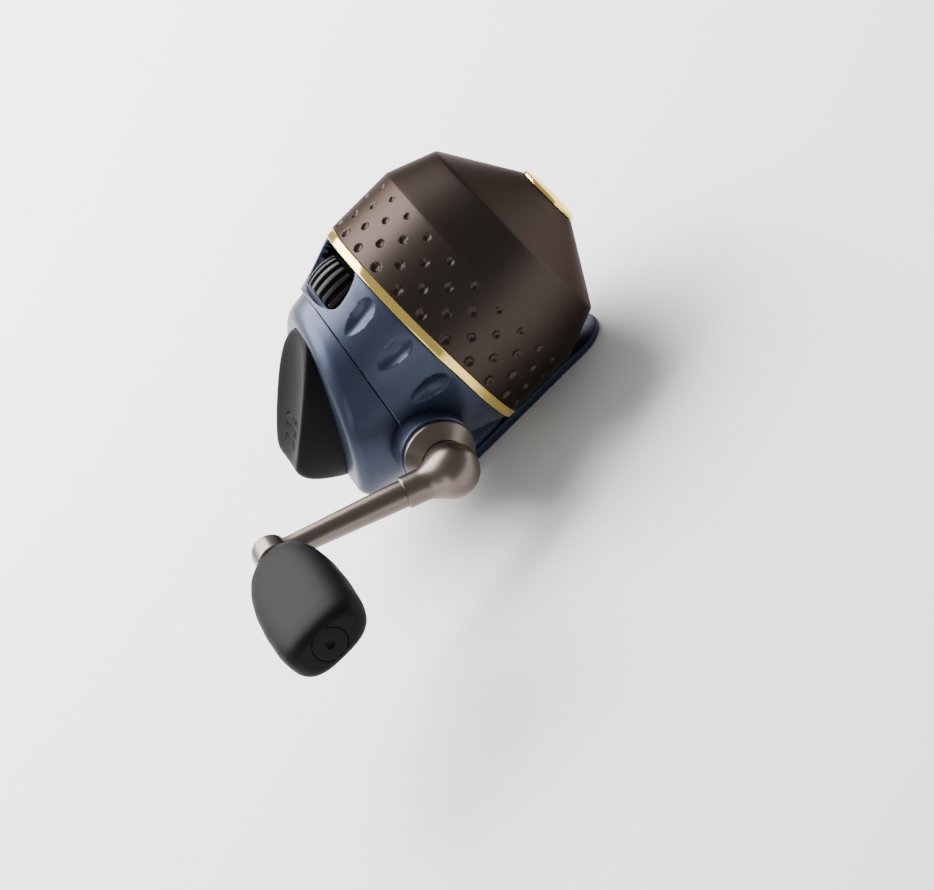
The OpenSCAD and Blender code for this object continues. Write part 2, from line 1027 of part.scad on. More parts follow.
// Shaft that the handle turns
module crank_shaft() {
    color(steel)
        on_axis()
            translate([crank_x, 0, crank_z])
                difference() {
                    union() {
                        y_rod(elbow_y + 2, crank_clip_y, crank_r);
                        y_rod(crank_clip_y - 0.1, crank_clip_y + 0.7, crank_r - 0.6);
                        y_rod(crank_clip_y + 0.6, crank_clip_y + 1.4, crank_r);
                    }
                    translate([0, gear_pin_y, 0])
                        x_rod(-6, 6, gear_pin_r, fn = small_fn);
                }
}

// Spring clip on the crank's inner end
module crank_clip() {
    color(steel)
        on_axis()
            translate([crank_x, 0, crank_z])
                difference() {
                    y_tube(crank_clip_y + 0.05, crank_clip_y + 0.55, 3.9, crank_r - 0.55, fn = 48);
                    translate([-1.1, crank_clip_y - 1, -6])
                        cube([2.2, 3, 6]);
                }
}

// Bush in the gear bridge for the crank's inner end
module crank_bushing() {
    color(brass)
        on_axis()
            translate([crank_x, 0, crank_z])
                y_tube(bridge_y0, bridge_y0 + 3.8, crank_bushing_r, crank_r + run_gap);
}

// Tooth form of the crossed pair: [share of a step, distance from the pitch circle]
tooth_form = [[-0.33, -tooth_in], [-0.19, 0], [-0.1, tooth_out], [0.1, tooth_out], [0.19, 0], [0.33, -tooth_in]];

// Outline of a helical gear seen along its axis, with a tooth centred on X
module helical_outline(teeth, pitch_r) {
    step = 360 / teeth;
    polygon([
        for (i = [0:teeth - 1])
            for (p = tooth_form)
                let (r = pitch_r + p[1], a = (i + p[0]) * step)
                r * [cos(a), sin(a)]
    ]);
}

// Right-handed helical body about Z, centred on the origin, with a tooth on X at its middle
module helical_body(teeth, pitch_r, length, lead, slices) {
    turn = 360 * length / lead;
    rotate([0, 0, -turn / 2])
        translate([0, 0, -length / 2])
            linear_extrude(height = length, twist = -turn, slices = slices, segments = 1)
                helical_outline(teeth, pitch_r);
}

// Helical gear on the crank shaft, with a hub for its cross pin
module drive_gear() {
    color(brass)
        on_axis()
            translate([crank_x, 0, crank_z])
                difference() {
                    union() {
                        rotate([-90, 0, 0])
                            rotate([0, 0, -90])
                                helical_body(gear_teeth, gear_pitch_r, gear_face, gear_lead, 8);
                        y_rod(gear_pin_y - 1.5, 0.5 - gear_face / 2, 4.3, fn = 48);
                    }
                    y_rod(-20, 20, crank_r);
                    translate([0, gear_pin_y, 0])
                        x_rod(-6, 6, gear_pin_r, fn = small_fn);
                }
}

// Cross pin that keys the drive gear to the crank shaft
module gear_pin() {
    color(steel)
        on_axis()
            translate([crank_x, gear_pin_y, crank_z])
                x_rod(-4.5, 4.5, gear_pin_r, fn = small_fn);
}

// Round shaft with two flats, about X
module keyed_rod(x0, x1, r, flat) {
    intersection() {
        x_rod(x0, x1, r, fn = 48);
        translate([x0 - 1, -r - 1, -flat])
            cube([x1 - x0 + 2, 2 * r + 2, 2 * flat]);
    }
}

// Four-start pinion with a journal at each end and a bore that keys it to the centre shaft
module pinion_gear() {
    color(brass)
        on_axis()
            difference() {
                union() {
                    translate([crank_x, 0, 0])
                        rotate([0, 90, 0])
                            rotate([0, 0, 180 / pinion_starts])
                                helical_body(pinion_starts, pinion_pitch_r, pinion_x1 - pinion_x0, pinion_lead, 56);
                    x_rod(pinion_rear_x - 0.3, pinion_x0 + 0.2, journal_r);
                    x_rod(pinion_x1 - 0.2, pinion_front_x + pinion_bearing_w, journal_r);
                }
                keyed_rod(-40, 10, shaft_r + run_gap, shaft_flat + run_gap);
            }
}

// Shaft through the pinion that carries the spinner head and slides when the button is pressed
module centre_shaft() {
    color(steel)
        on_axis()
            union() {
                keyed_rod(shaft_x0 + 1.5, deck_x1, shaft_r, shaft_flat);
                x_rod(deck_x1 - 0.1, shaft_x1, shaft_r, fn = 48);
                x_rod(shaft_x0, shaft_x0 + 1.6, 0.8, shaft_flat, fn = 48);
            }
}

// Collar on the shaft's rear end, which the return spring pushes
module shaft_collar() {
    color(steel)
        on_axis()
            difference() {
                x_rod(shaft_x0 + 1.6, shaft_x0 + 2.6, 3.3, fn = 48);
                keyed_rod(shaft_x0, shaft_x0 + 5, shaft_r, shaft_flat);
            }
}

// Coil spring about X as a chain of rings, each turn its own torus segment joined by the pitch
module coil_spring(x0, x1, mid_r, wire_r, turns) {
    steps = 12;
    sides = 8;
    total = turns * steps;
    rings = [
        for (i = [0:total])
            let (a = i * 360 / steps, x = x0 + wire_r + (x1 - x0 - 2 * wire_r) * i / total)
            [for (j = [0:sides - 1])
                let (b = j * 360 / sides, r = mid_r + wire_r * cos(b))
                [x + wire_r * sin(b), r * cos(a), r * sin(a)]]
    ];
    polyhedron(
        points = [for (ring = rings) for (p = ring) p],
        faces = concat(
            [[for (j = [0:sides - 1]) j]],
            [for (i = [0:total - 1]) for (j = [0:sides - 1])
                [i * sides + j, (i + 1) * sides + j, (i + 1) * sides + (j + 1) % sides, i * sides + (j + 1) % sides]],
            [[for (j = [sides - 1:-1:0]) total * sides + j]]
        )
    );
}

// Spring that returns the shaft and the button
module return_spring() {
    color(steel)
        on_axis()
            coil_spring(shaft_x0 + 2.65, pinion_rear_x - 0.65, 2.5, 0.3, 6);
}

// Winding cup with a rolled front edge and guides for the two pickup pins
module spinner_head() {
    outer = concat(
        [[head_x0, head_r]],
        [[head_x1 - 3.2, head_r]],
        arc([head_x1 - 3.2, head_r - 3.2], 3.2, 80, 10, 5),
        [[head_x1, head_r - 3.2]],
        [[head_x1, 4.6], [head_x1 + 1.4, 4.4], [head_x1 + 1.4, shaft_r]]
    );
    inner = concat(
        [[pin_x + 1.2, shaft_r], [pin_x + 1.2, 4.4], [head_x1 - head_wall, 5]],
        [[head_x1 - head_wall, head_r - 4]],
        [[head_x1 - 3.6, head_r - head_wall]],
        [[head_x0, head_r - head_wall]]
    );
    color(steel)
        on_axis()
            difference() {
                union() {
                    x_turned(concat(outer, inner));
                    for (side = [-1, 1])
                        translate([pin_x - 1.6, side * 12 - 2.5, -1.7])
                            cube([head_x1 - pin_x + 1.2, 5, 3.4]);
                }
                translate([pin_x, 0, 0])
                    y_rod(-30, 30, pickup_r + run_gap, fn = small_fn);
                for (a = [45:90:315])
                    rotate([a, 0, 0])
                        translate([0, 0, 11])
                            x_rod(20, 30, 2.2, fn = small_fn);
            }
}

// Nut that holds the spinner head on the shaft
module spinner_nut() {
    color(brass)
        on_axis()
            translate([head_x1 + 1.45, 0, 0])
                rotate([0, 90, 0])
                    difference() {
                        cylinder(h = 2.2, r = 3.2, $fn = 6);
                        translate([0, 0, -cut])
                            cylinder(h = 4, r = shaft_r, $fn = small_fn);
                    }
}

// Pin that catches the line; its inner end rides on the pickup cam
module pickup_pin(side) {
    color(steel)
        on_axis()
            translate([pin_x, 0, 0]) {
                y0 = side > 0 ? pickup_in : -pickup_out;
                y1 = side > 0 ? pickup_out : -pickup_in;
                y_rod(y0, y1, pickup_r, fn = small_fn);
            }
}

module pickup_pin_left() {
    pickup_pin(1);
}

module pickup_pin_right() {
    pickup_pin(-1);
}

// Cam on the end of the spool post that holds the pins out
module pickup_cam() {
    color(white_nylon)
        on_axis()
            x_tube(post_x1 + 0.75, pin_x - 0.2, pickup_in - 0.3, 4.8);
}

// Rubber ring on the spinner head that pinches the line against the cover
module line_snubber() {
    color(black_rubber)
        on_axis()
            x_turned([
                [head_x1, 16.4], [head_x1 + 2, 16.4], [head_x1 + 2.6, 17], [head_x1 + 2.6, 18.4],
                [head_x1 + 2, 19.2], [head_x1, 19.2]
            ]);
}

// Side outline of the thumb button in the slope's frame: [out of the slope, up the slope]
button_side = [
    [-1.5, 26], [1.3, 25.2], [6.4, 12], [11.6, -4.6], [11.9, -6.6], [11.4, -8.4], [9.3, -10.8], [7.6, -12],
    [-0.4, -15.6], [-1.5, -16]
];

// Wedge of the button between its tapered outline and its side outline
module button_wedge(margin) {
    intersection() {
        translate([1.5, 0, 0])
            rotate([0, -90, 0])
                linear_extrude(height = 14.5, scale = [1, 0.8], slices = 1, segments = 1)
                    polygon(button_outline(-margin));
        translate([margin, 0, 0])
            xz_plate(-20, 20)
                polygon([for (p = button_side) [-p[0], p[1]]]);
    }
}

// Thumb button: hollow wedge with a dished face, a hinge lug and a pusher for the shaft
module thumb_button() {
    dish_r = 22;
    color(black_plastic)
        on_axis()
            difference() {
                union() {
                    on_slope()
                        difference() {
                            button_wedge(0);
                            translate([1, 0, 0])
                                button_wedge(button_wall);
                        }
                    intersection() {
                        on_slope()
                            button_wedge(0.2);
                        union() {
                            translate([-60, 0, 0])
                                x_rod(0, 60 + shaft_x0 - 0.4, 4, fn = 48);
                            translate([hinge_x - 8, -4.4, hinge_z - 1.6])
                                cube([8, 8.8, 3.2]);
                        }
                    }
                    translate([hinge_x, 0, hinge_z])
                        y_rod(-4.4, 4.4, 1.9, fn = small_fn);
                }
                translate([hinge_x, 0, hinge_z])
                    y_rod(-20, 20, hinge_r + run_gap, fn = small_fn);
                on_slope()
                    button_dish(dish_r, 1.6);
                on_slope()
                    button_grips();
            }
}

// Frame on the button's face, midway along it: X points into the button and Z runs up the face
module on_face() {
    low = button_side[3];
    high = button_side[1];
    middle = (low + high) / 2;
    translate([-middle[0], 0, middle[1]])
        rotate([0, atan((low[0] - high[0]) / (high[1] - low[1])), 0])
            children();
}

// Long shallow hollow for the thumb, along the button's face
module button_dish(r, depth) {
    on_face()
        translate([depth - r, 0, 0])
            cylinder(h = 60, r = r, center = true);
}

// Three plain grip grooves across the lower part of the face
module button_grips() {
    on_face()
        for (i = [0:2])
            translate([1, -3.5, -13 + 2.6 * i])
                cube([1.2, 7, 0.9]);
}

// Pin that the button turns on
module button_pin() {
    color(steel)
        on_axis()
            translate([hinge_x, 0, hinge_z])
                y_rod(-9.3, 9.3, hinge_r, fn = small_fn);
}

// Turned collar against the boss
module handle_hub() {
    color(gunmetal)
        on_axis()
            translate([crank_x, 0, crank_z])
                y_turned([
                    [-35.4, crank_r], [-35.4, 5.5], [-35.1, 5.8], [-32.5, 8.7], [-32.1, 8.9], [-31.45, 8.9],
                    [-31.45, crank_r]
                ]);
}

// Places its child at the elbow, with X along the arm
module along_arm() {
    translate([crank_x, elbow_y, crank_z])
        rotate([0, 180 + arm_angle, 0])
            children();
}

// Ball at the end of the crank shaft with a socket for the arm
module handle_elbow() {
    color(gunmetal)
        on_axis()
            difference() {
                union() {
                    translate([crank_x, elbow_y, crank_z])
                        sphere(r = ball_r);
                    translate([crank_x, 0, crank_z])
                        y_rod(elbow_y + 3, elbow_back_y, 5.2);
                    along_arm()
                        x_rod(2, socket_len, 4.1, 3.95);
                }
                along_arm()
                    x_rod(arm_seat, socket_len + cut, arm_r0);
                translate([crank_x, 0, crank_z]) {
                    y_rod(elbow_y + 2, -30, crank_r);
                    y_rod(elbow_back_y, -30, ball_r);
                }
            }
}

// Tapered arm with a boss for the knob's shaft
module handle_arm() {
    color(gunmetal)
        on_axis()
            difference() {
                union() {
                    along_arm() {
                        x_rod(arm_seat, socket_len, arm_r0);
                        x_rod(socket_len - 0.1, arm_len, arm_r0, arm_r1);
                    }
                    at_knob()
                        y_turned([
                            [elbow_y - arm_boss_half, 0],
                            [elbow_y - arm_boss_half, arm_boss_r - 0.9],
                            [elbow_y - arm_boss_half + 0.9, arm_boss_r],
                            [elbow_y + arm_boss_half - 2, arm_boss_r],
                            [elbow_y + arm_boss_half - 0.6, arm_boss_r - 1.2],
                            [elbow_y + arm_boss_half, arm_boss_r - 3],
                            [elbow_y + arm_boss_half, 0]
                        ]);
                }
                at_knob()
                    y_rod(elbow_y - 20, elbow_y + arm_boss_half - 1.4, knob_shaft_r, fn = 48);
            }
}

// Moves its child to the knob's axis
module at_knob() {
    translate([crank_x - arm_len * cos(arm_angle), 0, crank_z + arm_len * sin(arm_angle)])
        children();
}

// Shaft fixed in the arm that the knob turns on
module knob_shaft() {
    color(steel)
        on_axis()
            at_knob()
                difference() {
                    y_rod(knob_y1 + 4.7, elbow_y + arm_boss_half - 1.4, knob_shaft_r, fn = 48);
                    y_rod(knob_y1, knob_y1 + 9, 0.9, fn = small_fn);
                }
}

// Bushes pressed into both ends of the knob
module knob_bushings() {
    color(brass)
        on_axis()
            at_knob() {
                y_tube(knob_y0 - 4.2, knob_y0 - 0.1, 3.1, knob_shaft_r + run_gap, fn = 48);
                y_tube(knob_y1 + 4.7, knob_y1 + 8.7, 3.1, knob_shaft_r + run_gap, fn = 48);
            }
}

// Sections of the paddle from the arm outwards: [distance, half width, half thickness]
knob_sections = [
    [0, 0.42, 0.62], [0.07, 0.68, 0.76], [0.21, 0.86, 0.86], [0.38, 0.96, 0.94], [0.6, 1, 1],
    [0.84, 0.98, 1], [0.95, 0.9, 0.93], [1, 0.74, 0.76]
];

// Paddle knob: one smooth convex body
module knob_body() {
    hull()
        for (s = knob_sections)
            translate([0, knob_y0 - s[0] * (knob_len - 0.1), 0])
                rotate([90, 0, 0])
                    linear_extrude(height = 0.1)
                        polygon([
                            for (i = [0:31])
                                let (a = i * 360 / 32, c = cos(a), d = sin(a), p = 2 / 2.8)
                                [
                                    sign(c) * pow(abs(c), p) * s[1] * knob_half_w,
                                    sign(d) * pow(abs(d), p) * s[2] * knob_half_t
                                ]
                        ]);
}

module knob() {
    color(black_plastic)
        on_axis()
            at_knob()
                difference() {
                    knob_body();
                    y_rod(knob_y1 - cut, knob_y1 + 4.5, 4.45, fn = 48);
                    y_rod(knob_y1 + 2, knob_y0 + cut, 3.1, fn = 48);
                }
}

// Screw in the end of the knob's shaft that keeps the knob on
module knob_screw() {
    color(steel)
        on_axis()
            at_knob()
                difference() {
                    union() {
                        y_rod(knob_y1 + 2.2, knob_y1 + 4.35, 2.9, fn = 48);
                        y_rod(knob_y1 + 4.3, knob_y1 + 9, 0.9, fn = small_fn);
                    }
                    translate([0, knob_y1 + 2.2, 0])
                        rotate([-90, 0, 0])
                            cross_recess(1.2);
                }
}

// Cap over the screw, with a dimple in its middle
module knob_plug() {
    color(black_plastic)
        on_axis()
            at_knob()
                y_turned([
                    [knob_y1 + 1.8, 0], [knob_y1 + 1.8, 4.4], [knob_y1 + 0.2, 4.4], [knob_y1, 4.1],
                    [knob_y1, 1.1], [knob_y1 + 0.8, 0.5], [knob_y1 + 0.8, 0]
                ]);
}

front_cover();
line_guide();
trim_ring();
body_housing();
rear_cover();
rear_cover_screws();
reel_foot();
foot_screws();
deck_plate();
deck_screws();
gear_bridge();
bridge_screws();
spool();
spool_bushing();
spool_clip();
drag_washer();
drag_plate();
drag_ring();
dial_gear();
drag_dial();
dial_axle();
drive_gear();
gear_pin();
crank_shaft();
crank_bushing();
crank_bearing_outer_races();
crank_bearing_balls();
crank_bearing_inner_races();
clutch_sleeve();
clutch_rollers();
clutch_hub();
crank_clip();
pinion_gear();
pinion_bearing_outer_races();
pinion_bearing_balls();
pinion_bearing_inner_races();
centre_shaft();
shaft_collar();
return_spring();
spinner_head();
spinner_nut();
pickup_pin_left();
pickup_pin_right();
pickup_cam();
line_snubber();
thumb_button();
button_pin();
handle_hub();
handle_elbow();
handle_arm();
knob_shaft();
knob_bushings();
knob();
knob_screw();
knob_plug();
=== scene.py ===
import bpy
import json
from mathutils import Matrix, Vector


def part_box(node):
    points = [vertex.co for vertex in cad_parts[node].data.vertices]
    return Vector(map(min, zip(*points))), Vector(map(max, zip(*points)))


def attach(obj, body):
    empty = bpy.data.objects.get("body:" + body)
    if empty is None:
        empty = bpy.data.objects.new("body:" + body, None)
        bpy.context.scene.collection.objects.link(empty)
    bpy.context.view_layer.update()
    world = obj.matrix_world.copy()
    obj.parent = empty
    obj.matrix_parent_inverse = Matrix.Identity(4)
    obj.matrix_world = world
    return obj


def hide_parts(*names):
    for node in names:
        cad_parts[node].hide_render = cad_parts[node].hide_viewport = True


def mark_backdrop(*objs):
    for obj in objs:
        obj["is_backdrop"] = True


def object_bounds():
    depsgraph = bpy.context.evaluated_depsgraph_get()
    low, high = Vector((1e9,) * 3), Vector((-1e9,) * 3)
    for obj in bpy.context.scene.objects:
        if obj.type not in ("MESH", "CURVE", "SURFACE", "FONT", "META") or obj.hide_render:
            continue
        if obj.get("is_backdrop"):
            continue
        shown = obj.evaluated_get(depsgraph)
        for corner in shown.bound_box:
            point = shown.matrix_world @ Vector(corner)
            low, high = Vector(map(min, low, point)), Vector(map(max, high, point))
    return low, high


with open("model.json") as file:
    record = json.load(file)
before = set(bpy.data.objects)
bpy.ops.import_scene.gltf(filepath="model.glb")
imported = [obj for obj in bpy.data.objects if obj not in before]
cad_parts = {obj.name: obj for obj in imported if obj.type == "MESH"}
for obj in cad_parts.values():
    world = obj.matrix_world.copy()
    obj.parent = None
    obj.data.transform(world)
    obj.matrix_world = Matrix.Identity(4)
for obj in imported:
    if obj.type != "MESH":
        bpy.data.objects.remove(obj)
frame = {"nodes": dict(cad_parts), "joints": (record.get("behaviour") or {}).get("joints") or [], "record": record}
CAD_BOX = [list(corner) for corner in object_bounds()]

import json
import math

import bpy
import numpy as np
from bpy.props import FloatProperty, FloatVectorProperty, IntProperty, PointerProperty
from bpy.types import Operator, Panel, PropertyGroup
from mathutils import Matrix, Vector

bl_info = {
    "name": "Spincast Reel",
    "version": (1, 0, 0),
    "blender": (4, 5, 0),
    "location": "View3D > Sidebar > Reel",
    "description": "Builds the detailed pieces and finishes of a spincast reel around its packed frame",
    "category": "Object",
}

# The shape functions work in millimetres in the reel's own frame: X forward along the reel axis, Y away
# from the handle, Z up from the reel axis. place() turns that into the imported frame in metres.
MM = 0.001
AXIS_Z = float(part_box("trim_ring")[0][2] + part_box("trim_ring")[1][2]) / 2
FOOT_HEIGHT = AXIS_Z / MM


def node_box(node):
    """Lowest and highest corner of a CAD node in the reel's own frame, in millimetres."""
    low, high = (np.array(corner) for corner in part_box(node))
    shift = np.array([0, 0, AXIS_Z])
    return (low - shift) / MM, (high - shift) / MM


def joint_point(name):
    """Where a joint's axis lies, in the reel's own frame, in millimetres."""
    joint = next(j for j in frame["joints"] if j["name"] == name)
    return (np.array(joint["pos_m"]) - np.array([0, 0, AXIS_Z])) / MM


CRANK_X, _, CRANK_Z = joint_point("crank_turn")
KNOB_X, _, KNOB_Z = joint_point("knob_spin")
DIAL_Z = joint_point("dial_turn")[2]
TRIM_R = node_box("trim_ring")[1][2]
HUB_FRONT = node_box("handle_hub")[0][1]
HUB_BACK = node_box("handle_hub")[1][1]
# Ball at the handle's elbow: its radius, its middle and where its neck meets the hub
BALL_R = 6.7
ELBOW_Y = node_box("handle_elbow")[0][1] + BALL_R
NECK_Y = node_box("handle_elbow")[1][1]
KNOB_LOW, KNOB_HIGH = node_box("knob")
FOOT_HIGH = node_box("reel_foot")[1]
# Stations of the front cover: back edge of its skirt, start of its nose cone and front of the cone
SKIRT_X = 1.3
SHOULDER_X = 31.6
NOSE_X = node_box("front_cover")[1][0]


# ---------------------------------------------------------------------------------------------------
# Colours
# ---------------------------------------------------------------------------------------------------

def linear(hex_code):
    """sRGB hex colour as linear RGBA."""
    channels = [int(hex_code[i:i + 2], 16) / 255 for i in (1, 3, 5)]
    return [c / 12.92 if c <= 0.04045 else ((c + 0.055) / 1.055) ** 2.4 for c in channels] + [1.0]


def colour_property(label, hex_code):
    """Colour setting with the linear form of an sRGB hex default."""
    return FloatVectorProperty(
        name=label, description=label + " of the finish", subtype="COLOR", size=4, min=0, max=1,
        default=linear(hex_code))


def length_property(label, description, millimetres):
    """Length setting, given in millimetres and kept in metres."""
    return FloatProperty(
        name=label, description=description, default=millimetres * MM, unit="LENGTH", precision=5)


def angle_property(label, description, degrees):
    """Angle setting, given in degrees and kept in radians."""
    return FloatProperty(
        name=label, description=description, default=math.radians(degrees), subtype="ANGLE")


class ReelSizes(PropertyGroup):
    """Sizes of the details that the frame leaves plain."""
    cover_r: length_property("Cover radius", "Radius of the cover's straight skirt", 31.1)
    cover_len: length_property("Skirt length", "Length of the cover's straight skirt", 18.2)
    shoulder_r: length_property("Shoulder radius", "Radius where the nose cone starts", 26.5)
    nose_r: length_property("Nose radius", "Radius of the cover behind the line guide", 8.4)
    dimple_count: IntProperty(name="Dimples per row", description="Dimples around the cover", default=24)
    dimple_pitch: length_property("Dimple pitch", "Distance between two rows of dimples", 4.5)
    dimple_d: length_property("Dimple width", "Width of the dimples next to the trim ring", 2.6)
    dimple_phase: angle_property("Dimple phase", "Angle of the first dimple from the top", 11.7)
    scallop_depth: length_property("Scallop depth", "Depth of the scallops in the housing", 1.2)
    button_half_w: length_property("Button half width", "Half the width of the thumb button", 11.6)
    dish_depth: length_property("Dish depth", "Depth of the thumb button's dish", 1.9)
    rib_count: IntProperty(name="Dial ribs", description="Ribs around the drag dial", default=26)
    ball_r: length_property("Ball radius", "Radius of the ball at the handle's elbow", BALL_R)
    knob_half_w: length_property("Knob half width", "Half the width of the knob", 11.4)
    knob_half_t: length_property("Knob half thickness", "Half the thickness of the knob", 6.8)


class ReelColours(PropertyGroup):
    """Colours of the reel's finishes."""
    cover: colour_property("Gunmetal cover", "#39322e")
    blue: colour_property("Metallic blue", "#293043")
    gold: colour_property("Gold plate", "#b07400")
    handle: colour_property("Handle metal", "#6a615b")
    soft_black: colour_property("Soft touch black", "#101012")
    dial_black: colour_property("Dial black", "#0b0b0c")
    ink: colour_property("Mark ink", "#15161c")


class ReelStudio(PropertyGroup):
    """Camera and light."""
    azimuth: angle_property("Azimuth", "Camera angle round the reel, 0 looks along +Y", 5.36)
    elevation: angle_property("Elevation", "Camera angle above the horizon", 32.9)
    roll: angle_property("Roll", "Turn of the camera about its own axis", -47.6)
    distance: length_property("Distance", "Distance from the camera to its target", 1000)
    lens: FloatProperty(name="Lens", description="Focal length", default=160.3, unit="CAMERA")
    key: FloatProperty(
        name="Key light", description="Power of the large upper light", default=30, unit="POWER")
    fill: FloatProperty(
        name="Fill light", description="Power of the lower light", default=3, unit="POWER")
    world: FloatProperty(name="World", description="Strength of the surrounding light", default=0.4)


def sizes():
    """Settings by name, with lengths in millimetres and angles in radians."""
    group = bpy.context.scene.reel_sizes
    units = {n: MM if group.bl_rna.properties[n].unit == "LENGTH" else 1 for n in group.__annotations__}
    return {n: getattr(group, n) / unit for n, unit in units.items()}


def colours():
    """The scene's colour settings."""
    return bpy.context.scene.reel_colours


# ---------------------------------------------------------------------------------------------------
# Surfaces
# ---------------------------------------------------------------------------------------------------

def place(points):
    """Reel frame in millimetres to row frame in metres."""
    return points * MM + np.array([0, 0, AXIS_Z])


def swept_volume(points, polygons):
    """Volume between some polygons and the reel's own origin, above zero where they face away."""
    first, second, third = (points[polygons[:, i]] for i in range(3))
    volume = (first * np.cross(second, third)).sum()
    if polygons.shape[1] == 4:
        volume += (first * np.cross(third, points[polygons[:, 3]])).sum()
    return volume / 6


def make_object(name, points, polygons, sharp=32):
    """Mesh object from points in the reel frame and a list of integer arrays of corners, one per shape
    (quads or triangles). All are turned over if they face inwards. Edges sharper than the angle stay
    crisp and the rest is smooth."""
    points = np.asarray(points, float).reshape(-1, 3)
    if sum(swept_volume(points, p) for p in polygons) < 0:
        polygons = [p[:, ::-1] for p in polygons]
    points = place(points)
    corners = np.concatenate([p.ravel() for p in polygons])
    totals = np.concatenate([np.full(len(p), p.shape[1]) for p in polygons])
    starts = np.concatenate([[0], np.cumsum(totals)[:-1]])
    mesh = bpy.data.meshes.new(name)
    mesh.vertices.add(len(points))
    mesh.vertices.foreach_set("co", points.astype(np.float32).ravel())
    mesh.loops.add(len(corners))
    mesh.loops.foreach_set("vertex_index", corners.astype(np.int32))
    mesh.polygons.add(len(totals))
    mesh.polygons.foreach_set("loop_start", starts.astype(np.int32))
    mesh.polygons.foreach_set("loop_total", totals.astype(np.int32))
    mesh.update(calc_edges=True)
    mesh.validate()
    mesh.polygons.foreach_set("use_smooth", np.ones(len(mesh.polygons), bool))
    mesh.set_sharp_from_angle(angle=math.radians(sharp))
    made = bpy.data.objects.new(name, mesh)
    bpy.context.scene.collection.objects.link(made)
    return made


def grid_faces(rows, columns, around=True, down=False, offset=0):
    """Quads of a grid stored row by row. around joins the last column to the first, and down joins
    the last row to the first."""
    r = np.arange(rows if down else rows - 1)[:, None]
    c = np.arange(columns if around else columns - 1)[None, :]
    r2 = (r + 1) % rows
    c2 = (c + 1) % columns
    quads = np.stack([r * columns + c, r * columns + c2, r2 * columns + c2, r2 * columns + c], axis=-1)
    return quads.reshape(-1, 4) + offset


def fan_faces(ring, centre, flip=False):
    """Triangles from a closed ring of corners to one centre corner."""
    turned = np.roll(ring, -1)
    tris = np.stack([ring, turned, np.full(len(ring), centre)], axis=-1)
    return tris[:, ::-1] if flip else tris


def closed_tube(name, grid, sharp=32):
    """Object from a grid (rows, columns, 3) whose columns go round and whose two end rows are closed
    by a fan to their own centre."""
    rows, columns, _ = grid.shape
    first = np.arange(columns)
    last = first + (rows - 1) * columns
    points = np.concatenate([grid.reshape(-1, 3), grid[0].mean(0)[None], grid[-1].mean(0)[None]])
    caps = [fan_faces(first, rows * columns, flip=True), fan_faces(last, rows * columns + 1)]
    return make_object(name, points, [grid_faces(rows, columns)] + caps, sharp)


def rounded(outline, radii, steps=5):
    """Open outline of 2D points with each inner corner replaced by an arc of the given radius."""
    outline = [np.array(p, float) for p in outline]
    made = [outline[0][None]]
    for before, corner, after, radius in zip(outline, outline[1:], outline[2:], radii):
        if radius <= 0:
            made.append(corner[None])
            continue
        a = (before - corner) / np.linalg.norm(before - corner)
        b = (after - corner) / np.linalg.norm(after - corner)
        half = math.acos(np.clip(a @ b, -1, 1)) / 2
        reach = radius / math.tan(half)
        middle = corner + (a + b) / np.linalg.norm(a + b) * radius / math.sin(half)
        start, end = corner + a * reach - middle, corner + b * reach - middle
        t = np.linspace(0, 1, steps)[:, None]
        arc = start * (1 - t) + end * t
        made.append(middle + arc / np.linalg.norm(arc, axis=1)[:, None] * radius)
    made.append(outline[-1][None])
    return np.concatenate(made)


def divided(outline, step):
    """Outline with extra points so that no straight stretch is longer than a step."""
    made = [outline[:1]]
    for a, b in zip(outline[:-1], outline[1:]):
        count = max(1, math.ceil(np.linalg.norm(b - a) / step))
        t = np.linspace(0, 1, count + 1)[1:, None]
        made.append(a + (b - a) * t)
    return np.concatenate(made)


def turned_x(outline, columns, y=0.0, z=0.0):
    """Grid of an outline of [x, radius] turned about a line along X. The angle runs from the top
    towards the handle: (x, y - r sin a, z + r cos a)."""
    a = np.arange(columns) * 2 * math.pi / columns
    x, r = outline[:, :1], outline[:, 1:]
    return np.stack([x + 0 * a, y - r * np.sin(a), z + r * np.cos(a)], axis=-1)


def turned_y(outline, columns, x=0.0, z=0.0):
    """Grid of an outline of [y, radius] turned about a line along Y: (x + r sin a, y, z + r cos a)."""
    a = np.arange(columns) * 2 * math.pi / columns
    y, r = outline[:, :1], outline[:, 1:]
    return np.stack([x + r * np.sin(a), y + 0 * a, z + r * np.cos(a)], axis=-1)


def smooth_step(low, high, value):
    """0 below low, 1 above high and a cubic ease between them."""
    t = np.clip((value - low) / (high - low), 0, 1)
    return t * t * (3 - 2 * t)


def smooth_max(fields, radius):
    """Largest of several distance fields, with their edges rounded by about a radius."""
    result = fields[0]
    for other in fields[1:]:
        h = np.clip(radius - np.abs(result - other), 0, None) / radius
        result = np.maximum(result, other) + h * h * radius / 4
    return result


def cast(origin, directions, field, reach=80.0, halvings=32):
    """Points where rays from an origin leave a solid: each ray's length is halved in on the place
    where the solid's field, negative inside, turns positive."""
    near = np.zeros(directions.shape[:-1])
    far = np.full(directions.shape[:-1], reach)
    for _ in range(halvings):
        middle = (near + far) / 2
        inside = field(origin + directions * middle[..., None]) < 0
        near = np.where(inside, middle, near)
        far = np.where(inside, far, middle)
    return origin + directions * ((near + far) / 2)[..., None]


def finish_piece(piece, material, body, slot, *nodes):
    """Gives a piece its material and body and hides the CAD nodes that it stands for. slot is not used."""
    piece.data.materials.append(material)
    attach(piece, body)
    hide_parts(*nodes)


def add_wall(piece, thickness_mm):
    """Gives an open skin a wall that grows inwards."""
    wall = piece.modifiers.new("wall", "SOLIDIFY")
    wall.thickness = thickness_mm * MM
    wall.offset = -1


# ---------------------------------------------------------------------------------------------------
# Materials
# ---------------------------------------------------------------------------------------------------

